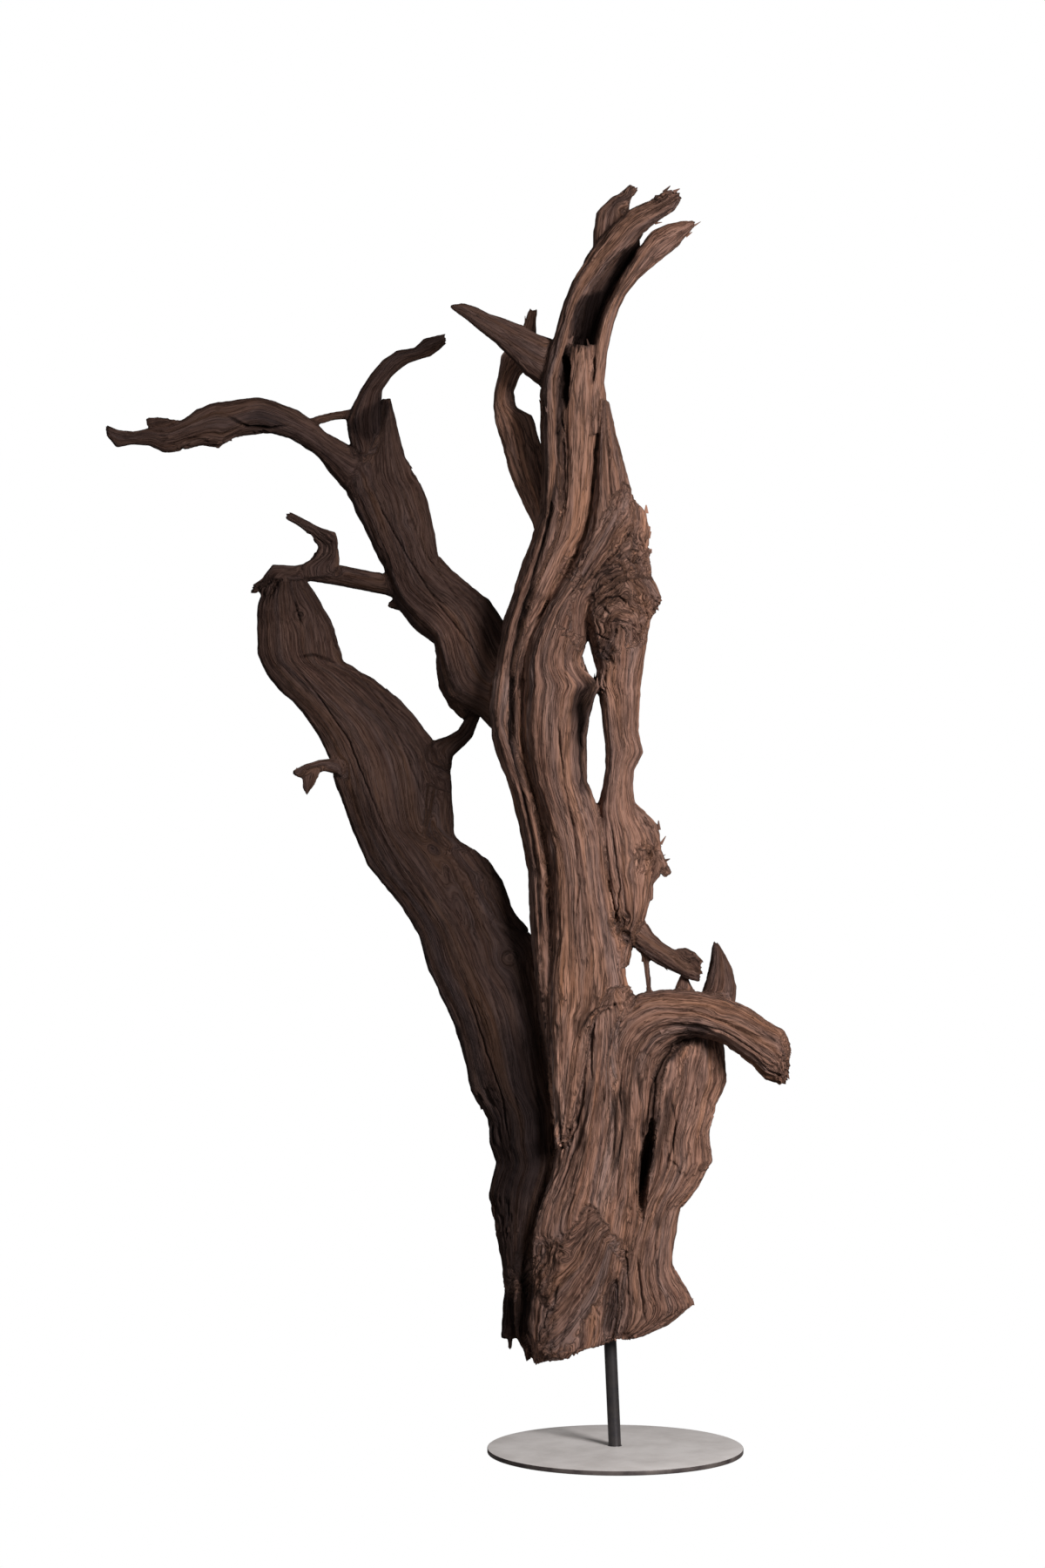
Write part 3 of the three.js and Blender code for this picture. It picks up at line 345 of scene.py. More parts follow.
# Hollows too deep for light: softness of the edge in sheet units, how dark, then the outline
DARK = [
    (3, 0.75, [(657, 400), (655, 388), (660, 349), (670, 339), (692, 334), (707, 305), (712, 290),
               (729, 280),
              (732, 297), (707, 325), (697, 344), (692, 364), (685, 396), (677, 399)]),
    (2.5, 0.75, [(655, 392), (660, 402), (656, 412), (650, 430), (648, 470), (646, 500), (640, 500),
                 (641, 450),
                 (643, 425), (650, 400)]),
    (8, 0.78, [(660, 793), (673, 778), (687, 778), (687, 796), (684, 815), (676, 844), (674, 869),
               (675, 898),
               (678, 913), (667, 909), (665, 887), (658, 844), (654, 815)]),
    (6, 0.5, [(683, 738), (698, 732), (708, 745), (702, 762), (694, 770), (688, 762)]),
    (9, 0.5, [(622, 1240), (633, 1310), (640, 1330), (630, 1360), (615, 1410), (605, 1450), (615, 1500),
              (605, 1530),
              (582, 1530), (580, 1490), (590, 1450), (600, 1400), (605, 1330), (610, 1260)]),
    (4, 0.65, [(800, 1172), (820, 1181), (790, 1200), (765, 1225), (760, 1245), (755, 1260),
               (759, 1285), (752, 1300),
               (747, 1330), (737, 1360), (732, 1375), (730, 1345), (737, 1315), (740, 1290),
               (747, 1270), (746, 1250),
               (750, 1230), (760, 1210), (780, 1185)]),
    (5, 0.45, [(280, 480), (300, 470), (326, 484), (318, 498), (296, 498), (284, 494)]),
    (4, 0.6, [(398, 493), (425, 510), (439, 493), (450, 465), (439, 456), (419, 468), (405, 482)]),
    (8, 0.2, [(590, 460), (600, 520), (612, 560), (626, 612), (628, 480), (618, 470)]),
    (2.5, 0.88, [(752, 1305), (750, 1330), (742, 1352), (735, 1372), (731, 1352), (736, 1330),
                 (744, 1310)]),
]

# Smooth stretches, worn nearly flat: width in mm, how smooth, then points on the sheet
SMOOTH = [
    (96, 0.75, [(716, 735), (712, 790), (712, 850), (712, 900), (720, 960), (728, 1050)]),
    (84, 0.6, [(668, 640), (650, 700), (642, 760), (642, 850), (650, 930), (668, 1010), (680, 1100)]),
    (64, 0.55, [(700, 1190), (730, 1160), (780, 1150), (830, 1165), (880, 1200), (910, 1240)]),
    (60, 0.5, [(690, 340), (680, 420), (676, 500), (672, 580), (650, 650)]),
    (70, 0.4, [(790, 1190), (796, 1260), (790, 1330), (760, 1400)]),
]

# Pale places, partly bleached wood and partly painted light: highlights along lit edges and the lit
# parts of the shaded limbs. Width in mm, how pale, then points on the sheet
PALE_AND_HIGHLIGHTS = [
    (44, 0.4, [(642, 1105), (650, 1150), (652, 1190), (648, 1230)]),
    (24, 0.8, [(646, 1180), (641, 1230), (641, 1290), (643, 1330)]),
    (10, 0.5, [(796, 1164), (840, 1195), (865, 1220), (895, 1246)]),
    (12, 0.6, [(782, 1214), (797, 1202), (810, 1199)]),
    (5, 0.5, [(605, 765), (602, 800), (603, 830), (607, 860)]),
    (8, 0.4, [(563, 825), (572, 870), (586, 905), (600, 940)]),
    (5, 0.4, [(693, 790), (696, 840), (698, 890)]),
    (96, 0.6, [(300, 680), (335, 730), (372, 790), (420, 860), (460, 930)]),
    (60, 0.9, [(500, 690), (530, 735), (556, 775), (575, 820)]),
    (40, 0.1, [(200, 505), (260, 482), (320, 480), (380, 510)]),
]

# Sheets of wood that stand out with a torn edge: height in mm, the y where they start to rise and
# where they stand full, then the outline on the sheet
RAISED = [
    (5, 1060, 1150, [(608, 1040), (622, 1130), (630, 1200), (634, 1260), (641, 1319), (650, 1300),
                     (661, 1272),
                     (669, 1236), (672, 1186), (682, 1161), (716, 1150), (740, 1100), (700, 1040)]),
    (3, 1330, 1420, [(640, 1325), (612, 1420), (608, 1530), (640, 1570), (664, 1552), (668, 1470),
                     (690, 1420),
                     (700, 1330)]),
    (2.5, 1240, 1300, [(768, 1230), (764, 1300), (770, 1330), (790, 1352), (812, 1340), (818, 1280),
                       (800, 1230)]),
]

# Frayed places: sheet x and y, reach in sheet units and how frayed
FRAYED = [
    (752, 985, 30, 1.0), (420, 765, 24, 0.7), (455, 800, 22, 0.5), (745, 640, 30, 0.8),
    (680, 772, 18, 1.0), (664, 400, 22, 0.9), (690, 760, 22, 0.8), (600, 1555, 24, 1.0),
    (715, 1535, 18, 0.7),
    (756, 610, 34, 0.8), (575, 1400, 34, 0.7), (900, 1225, 24, 0.8), (806, 1112, 18, 0.8),
    (640, 1316, 14, 0.8),
    (288, 670, 22, 0.9), (375, 625, 34, 0.6), (240, 510, 30, 0.5), (672, 1180, 20, 0.6),
    (792, 1518, 20, 0.4),
    (812, 1350, 20, 0.5), (420, 770, 26, 0.3), (738, 700, 30, 0.5), (750, 232, 34, 0.9),
    (778, 222, 14, 0.9),
    (718, 216, 16, 0.7), (558, 1262, 16, 1.0), (566, 1304, 14, 1.0), (798, 1504, 14, 0.8),
    (745, 935, 24, 1.0),
    (690, 785, 16, 0.9), (790, 268, 20, 0.6), (215, 515, 26, 1.0), (265, 506, 20, 0.9), (300, 500, 16, 0.8),
    (190, 495, 20, 0.8), (150, 496, 14, 0.9), (618, 470, 16, 0.6), (478, 545, 14, 0.6), (500, 690, 16, 0.6),
]

# Grooves cut along the front: width and depth in mm, then points on the sheet
GROOVES = [
    (5, 6, [(690, 440), (687, 480), (684, 520), (681, 560), (677, 590), (670, 615), (660, 637), (645, 658),
             (633, 680), (622, 705), (608, 722), (602, 745), (598, 770), (595, 800)]),
    (9, 10, [(641, 470), (644, 520), (639, 565), (632, 596), (623, 633), (606, 690), (597, 725), (590, 760),
             (588, 800), (588, 851), (600, 900), (610, 950), (618, 1000), (622, 1050), (622, 1100),
             (626, 1160)]),
    (6, 5, [(790, 1188), (774, 1198), (762, 1212), (752, 1236), (750, 1262), (748, 1296)]),
    (5, 5, [(680, 1180), (678, 1205), (680, 1240)]),
    (5, 6, [(672, 1240), (668, 1265), (662, 1285), (655, 1310)]),
    (4, 5, [(718, 1152), (700, 1154), (684, 1158), (672, 1172), (666, 1183)]),
    (4, 4, [(655, 1510), (648, 1530), (638, 1560)]),
    (4, 4, [(682, 1498), (690, 1512)]),
    (4, 5, [(730, 1440), (734, 1470), (738, 1500), (742, 1522)]),
    (4, 5, [(752, 1420), (756, 1460), (760, 1500)]),
    (4, 4, [(718, 1430), (720, 1470), (722, 1510)]),
    (9, 16, [(651, 398), (651, 420), (649, 450), (648, 470)]),
    (4, 6, [(683, 408), (682, 425), (680, 440)]),
    (5, 7, [(641, 476), (643, 500), (644, 520)]),
    (22, 9, [(668, 792), (672, 830), (674, 870), (676, 905)]),
    (6, 7, [(640, 1240), (642, 1280), (644, 1315), (634, 1345), (622, 1375), (612, 1405)]),
    (5, 6, [(340, 755), (362, 752), (385, 760)]),
    (4, 4, [(676, 800), (670, 850), (668, 900), (674, 950)]),
    (4, 5, [(640, 800), (642, 850), (648, 900), (660, 960), (664, 1020), (660, 1080)]),
    (4, 4, [(656, 700), (648, 740), (650, 790)]),
    (4, 4, [(712, 600), (700, 625), (676, 650), (660, 680)]),
    (4, 5, [(700, 940), (706, 980), (712, 1020), (706, 1060)]),
    (4, 4, [(770, 1250), (776, 1290), (768, 1330), (756, 1370)]),
    (4, 4, [(800, 1230), (800, 1270), (792, 1310), (784, 1350)]),
    (4, 4, [(690, 1290), (688, 1330), (680, 1370), (670, 1420), (664, 1470)]),
    (4, 4, [(716, 1210), (712, 1260), (714, 1310), (708, 1350)]),
    (3, 4, [(700, 1200), (720, 1172), (750, 1158), (790, 1160), (830, 1172), (870, 1192), (895, 1212)]),
    (3, 4, [(712, 1230), (728, 1196), (756, 1180), (790, 1174), (830, 1184), (864, 1204), (884, 1226)]),
    (3, 4, [(330, 700), (326, 730), (336, 760), (366, 800), (400, 850), (424, 910), (450, 970),
            (490, 1020)]),
    (3, 4, [(372, 690), (384, 740), (420, 780), (452, 830), (476, 890), (500, 950)]),
    (3, 4, [(560, 1120), (576, 1180), (588, 1240), (600, 1300), (604, 1360)]),
    (3, 4, [(530, 1120), (556, 1200), (576, 1260), (586, 1320)]),
    (3, 4, [(420, 540), (440, 590), (468, 640), (500, 690), (540, 740), (566, 790)]),
    (3, 4, [(450, 530), (466, 580), (486, 630), (520, 680), (552, 720)]),
    (3, 4, [(646, 692), (666, 664), (686, 638), (702, 612), (710, 586)]),
    (2.5, 4, [(655, 692), (676, 662), (697, 636), (715, 608), (724, 588)]),
    (3, 4, [(664, 684), (688, 655), (710, 631), (727, 606), (732, 592)]),
    (2.5, 3, [(648, 678), (664, 652), (680, 627), (693, 600), (698, 580)]),
    (3, 4, [(670, 674), (694, 651), (716, 636), (738, 622)]),
    (2.5, 3, [(684, 664), (706, 650), (728, 644), (744, 640)]),
    (4, 6, [(672, 688), (685, 676), (700, 665), (718, 655), (736, 650)]),
    (3.5, 6, [(675, 697), (687, 683), (704, 673), (722, 665), (736, 670)]),
    (4, 6, [(677, 706), (685, 694), (696, 687), (711, 685), (719, 693), (710, 701)]),
    (3, 4, [(672, 712), (680, 724), (690, 732), (704, 736)]),
    (3, 4, [(735, 724), (724, 716), (712, 713), (700, 716)]),
    (3, 5, [(691, 697), (700, 705), (707, 695)]),
    (3.5, 5, [(716, 636), (729, 646), (739, 642), (735, 632)]),
    (3.5, 5, [(727, 620), (740, 627), (745, 640), (738, 656)]),
    (3.5, 5, [(734, 663), (747, 673), (750, 687), (745, 702), (735, 715)]),
    (4, 5, [(338, 688), (341, 702), (346, 720)]),
    (6, 7, [(258, 476), (285, 490), (310, 493), (334, 486)]),
]


def seen_at(x, y, depth):
    """Points in mm, at a given depth, that the camera sees at places on the sheet."""
    x, y, depth = (np.asarray(v, float) for v in (x, y, depth))
    flat = np.stack([(x - STAND_X) * SHEET_UNIT_MM, 0 * x, (STAND_Y - y) * SHEET_UNIT_MM + PLATE_TOP_MM], -1)
    stretch = (depth - EYE_MM[1]) / -EYE_MM[1]
    return EYE_MM + (flat - EYE_MM) * stretch[..., None]


def on_sheet(points):
    """Places on the sheet where the camera sees points given in mm."""
    seen = points - EYE_MM
    across = SHEET_WIDTH / 2 + FOCAL_UNITS * seen[:, 0] / seen[:, 1]
    down = SHEET_HEIGHT / 2 - FOCAL_UNITS * seen[:, 2] / seen[:, 1]
    return np.stack([across, down], 1)


def smooth_step(low, high, values):
    t = np.clip((values - low) / (high - low), 0, 1)
    return t * t * (3 - 2 * t)


def lattice_noise(points, seed):
    """Smooth gradient noise between about -0.7 and 0.7, with one bump a unit."""
    draws = np.random.default_rng(seed).normal(size=(256, 3))
    slopes = (draws / np.linalg.norm(draws, axis=1, keepdims=True)).astype(np.float32)
    cell = np.floor(points).astype(np.int64)
    within = (points - cell).astype(np.float32)
    fade = within * within * within * (within * (within * 6 - 15) + 10)
    total = np.zeros(len(points), np.float32)
    for corner in range(8):
        step = np.array([corner & 1, corner >> 1 & 1, corner >> 2 & 1])
        at = cell + step
        code = (at[:, 0] * SCATTER[0]) ^ (at[:, 1] * SCATTER[1])
        code = code ^ (at[:, 2] * SCATTER[2]) ^ (seed * SCATTER[3])
        slope = slopes[((code ^ (code >> 13)) * SCATTER[4] >> 9) & 255]
        share = np.prod(np.where(step == 1, fade, 1 - fade), axis=1)
        total += share * np.einsum("ij,ij->i", slope, within - step)
    return total


def fibre_noise(fibre, across_mm, along_mm, seed):
    """Noise drawn out along the fibres."""
    return lattice_noise(fibre / np.array([across_mm, across_mm, along_mm]), SEED + seed)


def between_ribs(rows, places):
    """A smooth curve through rows, read at fractional row numbers."""
    first = np.clip(np.floor(places).astype(int), 0, len(rows) - 2)
    t = (places - first)[:, None]
    before, after = rows[np.maximum(first - 1, 0)], rows[np.minimum(first + 2, len(rows) - 1)]
    here, there = rows[first], rows[first + 1]
    return 0.5 * (2 * here + (there - before) * t + (2 * before - 5 * here + 4 * there - after) * t ** 2
                  + (3 * here - before - 3 * there + after) * t ** 3)


class Limb:
    """Stations along a limb, which give each point its place across, through and along the fibres."""

    def __init__(self, ribs):
        ribs = np.array(ribs, float)
        left = seen_at(ribs[:, 0], ribs[:, 1], ribs[:, 4])
        right = seen_at(ribs[:, 2], ribs[:, 3], ribs[:, 4])
        rows = np.concatenate([left, right, ribs[:, 5:6]], 1)
        middle = (left + right) / 2
        lengths = np.linalg.norm(np.diff(middle, axis=0), axis=1)
        steps = np.maximum(1, np.round(lengths / STATION_MM).astype(int))
        places = np.concatenate([i + np.arange(n) / n for i, n in enumerate(steps)] + [[len(ribs) - 1]])
        rows = between_ribs(rows, places)
        left, right, thick = rows[:, :3], rows[:, 3:6], np.maximum(rows[:, 6], 3)
        self.centre = (left + right) / 2
        self.half = (right - left) / 2
        self.along = np.gradient(self.centre, axis=0)
        self.along /= np.linalg.norm(self.along, axis=1, keepdims=True)
        through = np.cross(self.along, self.half)
        self.through = through / np.linalg.norm(through, axis=1, keepdims=True) * thick[:, None] / 2
        plane = np.cross(self.half, self.through)
        self.plane = plane / np.linalg.norm(plane, axis=1, keepdims=True)
        run = np.linalg.norm(np.diff(self.centre, axis=0), axis=1)
        self.run = np.concatenate([[0], np.cumsum(run)])
        widths = np.linalg.norm(self.half, axis=1)
        self.nominal = np.array([widths.mean(), thick.mean() / 2])
        self.shift = np.zeros(3)
        edges = np.concatenate([left, right])
        self.low = edges.min(0) - thick.max() / 2
        self.high = edges.max(0) + thick.max() / 2

    def locate(self, points):
        """Fibre coordinates in mm, distance from the surface, half thickness, direction, tip distance."""
        offset = np.einsum("ij,ij->i", self.centre, self.plane)
        ahead = points @ self.plane.T - offset
        apart = (points ** 2).sum(1)[:, None] - 2 * points @ self.centre.T + (self.centre ** 2).sum(1)
        passed = (ahead[:, :-1] >= 0) & (ahead[:, 1:] < 0)
        cost = np.where(passed, apart[:, :-1], np.inf)
        first = cost.argmin(1)
        rows = np.arange(len(points))
        missed = ~np.isfinite(cost[rows, first])
        first[missed] = np.minimum(apart[missed].argmin(1), len(self.run) - 2)
        here, there = ahead[rows, first], ahead[rows, first + 1]
        t = np.clip(here / np.maximum(here - there, 1e-6), 0, 1)
        beyond = np.where(missed & (first == 0), np.minimum(here, 0), 0)
        beyond += np.where(missed & (first == len(self.run) - 2), np.maximum(there, 0), 0)
        t = np.where(beyond > 0, 1.0, t)

        def blend(values):
            tt = t if values.ndim == 1 else t[:, None]
            return values[first] * (1 - tt) + values[first + 1] * tt

        centre, half, through = blend(self.centre), blend(self.half), blend(self.through)
        offset = points - centre
        half_square, through_square = (half ** 2).sum(1), (through ** 2).sum(1)
        across = (offset * half).sum(1) / half_square
        deep = (offset * through).sum(1) / through_square
        reach = (np.abs(across) ** SECTION_POWER + np.abs(deep) ** SECTION_POWER) ** (1 / SECTION_POWER)
        thin = np.sqrt(np.minimum(half_square, through_square))
        distance = np.hypot(np.abs(reach - 1) * thin, beyond)
        run = blend(self.run) + beyond
        fibre = np.stack([across * self.nominal[0], deep * self.nominal[1], run], 1) + self.shift
        return [fibre, distance, thin, blend(self.along), self.run[-1] - run]


def grown_limbs():
    """The limbs, each with its fibre coordinates shifted to run on from the limb it grows from."""
    limbs = {}
    for name, (parent, tone, ribs) in LIMBS.items():
        limb = Limb(ribs)
        limb.tone = tone
        limb.pull = PULL_MM.get(name, 0)
        if parent:
            root = limb.centre[min(3, len(limb.centre) - 1)][None]
            limb.shift = (limbs[parent].locate(root)[0] - limb.locate(root)[0])[0]
        limbs[name] = limb
    return limbs


def fibre_field(points, limbs):
    """Fibre coordinates, thickness, direction, tone with its painted shade and tip distance, blended between
    limbs.
    """
    found = []
    nearest = np.full(len(points), np.inf)
    for limb in limbs.values():
        low, high = limb.low - LIMB_MARGIN_MM, limb.high + LIMB_MARGIN_MM
        near = np.all((points > low) & (points < high), axis=1)
        rows = np.flatnonzero(near)
        for part in np.array_split(rows, len(rows) // 40000 + 1):
            if len(part):
                placed = limb.locate(points[part])
                if limb.pull:
                    placed[1] -= limb.pull + 9 * lattice_noise(points[part] / 13, SEED + 21)
                found.append((part, limb.tone, placed))
                nearest[part] = np.minimum(nearest[part], placed[1])
    weight, sharp = np.zeros(len(points)), np.zeros(len(points))
    fibre, along = np.zeros((len(points), 3)), np.zeros((len(points), 3))
    thin, tone, tip = (np.zeros(len(points)) for _ in range(3))
    for part, limb_tone_and_shade, (f, distance, t, a, end) in found:
        w = np.exp(-(distance - nearest[part]) / BLEND_MM)
        s = np.exp(-(distance - nearest[part]) / SWITCH_MM)
        weight[part] += w
        sharp[part] += s
        fibre[part] += f * s[:, None]
        along[part] += a * w[:, None]
        thin[part] += t * w
        tone[part] += limb_tone_and_shade * w
        tip[part] += end * w
    weight, sharp = np.maximum(weight, 1e-9), np.maximum(sharp, 1e-9)
    return fibre / sharp[:, None], thin / weight, along / weight[:, None], tone / weight, tip / weight


def swirl_round_knots(fibre, points):
    """Bends the fibres round each knot, and into rings inside it. Returns how much of each point is knot."""
    knotted = np.zeros(len(points))
    for x, y, depth, radius in KNOTS:
        centre = seen_at(x, y, depth)
        away = np.linalg.norm(points - centre, axis=1)
        near = away < radius * 4
        at_knot = fibre[near][away[near].argmin()] if near.any() else None
        if at_knot is None:
            continue
        offset = fibre[near, 0] - at_knot[0]
        d = away[near]
        flow = offset * (1 - (radius / np.maximum(d, radius)) ** 2)
        ring = (radius - d) * 0.9
        fade = 1 - smooth_step(radius * 2.2, radius * 4, d)
        bent = np.where(d < radius, ring, flow)
        fibre[near, 0] = at_knot[0] + offset * (1 - fade) + bent * fade
        knotted[near] = np.maximum(knotted[near], 1 - smooth_step(radius * 0.5, radius * 1.3, d))
    return knotted


def curl_in_burls(fibre, points):
    """Turns the fibres into short curls inside the burls. Returns how much of each point is burl."""
    burled = np.zeros(len(points))
    for x, y, depth, reach in BURLS:
        away = np.linalg.norm(points - seen_at(x, y, depth), axis=1)
        burled = np.maximum(burled, 1 - smooth_step(reach * 0.55, reach * 1.15, away))
    rows = np.flatnonzero(burled > 0)
    for axis, spread in ((0, 22), (2, 20)):
        bend = lattice_noise(points[rows] / 34, SEED + 40 + axis)
        bend += 0.3 * lattice_noise(points[rows] / 14, SEED + 50 + axis)
        fibre[rows, axis] += burled[rows] * spread * bend
    return burled


def near_line(spots, places):
    """Distance of sheet places from a line of points, and a share that falls to 0.1 at the line's ends."""
    line = np.array(places, float)
    lengths = np.linalg.norm(np.diff(line, axis=0), axis=1)
    best = np.full(len(spots), np.inf)
    taper = np.ones(len(spots))
    gone = 0.0
    for a, b, length in zip(line[:-1], line[1:], lengths):
        t = np.clip(((spots - a) @ (b - a)) / length ** 2, 0, 1)
        d = np.linalg.norm(spots - a - t[:, None] * (b - a), axis=1)
        share = (gone + t * length) / lengths.sum()
        taper = np.where(d < best, np.minimum(1, 5 * np.minimum(share, 1 - share) + 0.1), taper)
        best = np.minimum(best, d)
        gone += length
    return best, taper


def along_lines(sheet, facing, lines, bend):
    """The largest amount that the lines (width mm, amount, places) give at each place on the sheet."""
    total = np.zeros(len(sheet))
    for width, amount, places in lines:
        reach = width / SHEET_UNIT_MM / 2
        low, high = np.min(places, axis=0) - reach - 3, np.max(places, axis=0) + reach + 3
        near = np.flatnonzero(np.all((sheet > low) & (sheet < high), axis=1) & (facing > 0))
        if not len(near):
            continue
        wobble = 2.4 * lattice_noise(np.c_[sheet[near] / 15, np.zeros(len(near))], SEED + 90)
        best, taper = near_line(sheet[near] + wobble[:, None], places)
        profile = np.clip(1 - best / (reach * (0.45 + 0.55 * taper)), 0, 1) ** bend
        total[near] = np.maximum(total[near], profile * amount * taper * facing[near])
    return total


def inside(sheet, outline):
    """Which places on the sheet are inside an outline."""
    found = np.zeros(len(sheet), bool)
    x, y = sheet.T
    for (x1, y1), (x2, y2) in zip(outline, outline[1:] + outline[:1]):
        crosses = (y1 > y) != (y2 > y)
        with np.errstate(divide="ignore", invalid="ignore"):
            found ^= crosses & (x < (x2 - x1) * (y - y1) / (y2 - y1) + x1)
    return found


def filled(sheet, facing, areas):
    """The largest amount that outlined areas (softness, amount, outline) give at places on the sheet."""
    total = np.zeros(len(sheet))
    for soft, amount, outline in areas:
        low, high = np.min(outline, axis=0) - soft - 3, np.max(outline, axis=0) + soft + 3
        near = np.flatnonzero(np.all((sheet > low) & (sheet < high), axis=1) & (facing > 0))
        wobble = 2.4 * lattice_noise(np.c_[sheet[near] / (5, 12), np.zeros(len(near))], SEED + 93)
        spots = sheet[near] + wobble[:, None]
        depth = near_line(spots, outline + outline[:1])[0]
        depth = np.where(inside(spots, outline), depth, -depth)
        total[near] = np.maximum(total[near], amount * smooth_step(-soft, soft, depth) * facing[near])
    return total


def raised_height(sheet, facing):
    """How far the raised sheets of wood stand out at places on the sheet, in mm."""
    total = np.zeros(len(sheet))
    ragged = np.c_[lattice_noise(np.c_[sheet / 6, 0 * sheet[:, :1]], SEED + 91),
                   lattice_noise(np.c_[sheet / (4, 14), 0 * sheet[:, :1]], SEED + 92)] * (2.5, 12)
    for height, start, full, outline in RAISED:
        stand = height * smooth_step(start, full, sheet[:, 1]) * facing
        total = np.maximum(total, np.where(inside(sheet + ragged, outline), stand, 0))
    return total


def frayed(points):
    """How frayed the wood is at points in mm."""
    sheet = on_sheet(points)
    share = np.zeros(len(points))
    for x, y, reach, amount in FRAYED:
        away = np.hypot(sheet[:, 0] - x, sheet[:, 1] - y)
        share = np.maximum(share, amount * (1 - smooth_step(reach * 0.4, reach, away)))
    return share


def mesh_arrays(mesh):
    """Corners, normals and edges of a mesh as arrays, with corners in mm."""
    corners = np.zeros(len(mesh.vertices) * 3)
    mesh.vertices.foreach_get("co", corners)
    normals = np.zeros(len(mesh.vertices) * 3)
    mesh.vertices.foreach_get("normal", normals)
    edges = np.zeros(len(mesh.edges) * 2, int)
    mesh.edges.foreach_get("vertices", edges)
    return corners.reshape(-1, 3) * 1000, normals.reshape(-1, 3), edges.reshape(-1, 2)


def neighbour_mean(values, edges):
    """The mean of each corner's neighbours."""
    count = np.bincount(edges.ravel(), minlength=len(values))
    sums = [np.bincount(edges[:, 0], column[edges[:, 1]], len(values))
            + np.bincount(edges[:, 1], column[edges[:, 0]], len(values)) for column in values.T]
    return np.stack(sums, 1) / np.maximum(count, 1)[:, None]


def soften(corners, edges, rounds):
    """Rounds a faceted surface off without shrinking it."""
    for _ in range(rounds):
        for pull in (0.55, -0.57):
            corners = corners + pull * (neighbour_mean(corners, edges) - corners)
    return corners


def set_corners(mesh, corners_mm):
    mesh.vertices.foreach_set("co", (corners_mm / 1000).astype(np.float32).ravel())
    mesh.update()


def store(mesh, name, values):
    """Keeps one number or one vector for each corner under a name that the materials read."""
    kind, field = ("FLOAT", "value") if values.ndim == 1 else ("FLOAT_VECTOR", "vector")
    attribute = mesh.attributes.new(name, kind, "POINT")
    attribute.data.foreach_set(field, values.astype(np.float32).ravel())


def new_object(name, mesh):
    made = bpy.data.objects.new(name, mesh)
    bpy.context.scene.collection.objects.link(made)
    return made


def plain_result(source, name):
    """A new object with the plain mesh that another object's modifiers give. The other object is removed."""
    ready = source.evaluated_get(bpy.context.evaluated_depsgraph_get())
    mesh = bpy.data.meshes.new_from_object(ready)
    mesh.name = name
    bpy.data.objects.remove(source)
    return new_object(name, mesh)


def voxel_skin(node):
    """The CAD wood as an even net of small squares."""
    shape = bmesh.new()
    shape.from_mesh(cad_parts[node].data)
    bmesh.ops.remove_doubles(shape, verts=shape.verts, dist=1e-6)
    mesh = bpy.data.meshes.new("wood_rough")
    shape.to_mesh(mesh)
    shape.free()
    rough = new_object("wood_rough", mesh)
    remesh = rough.modifiers.new("even net", "REMESH")
    remesh.mode = "VOXEL"
    remesh.voxel_size = VOXEL_MM / 1000
    return plain_result(rough, "wood_net")


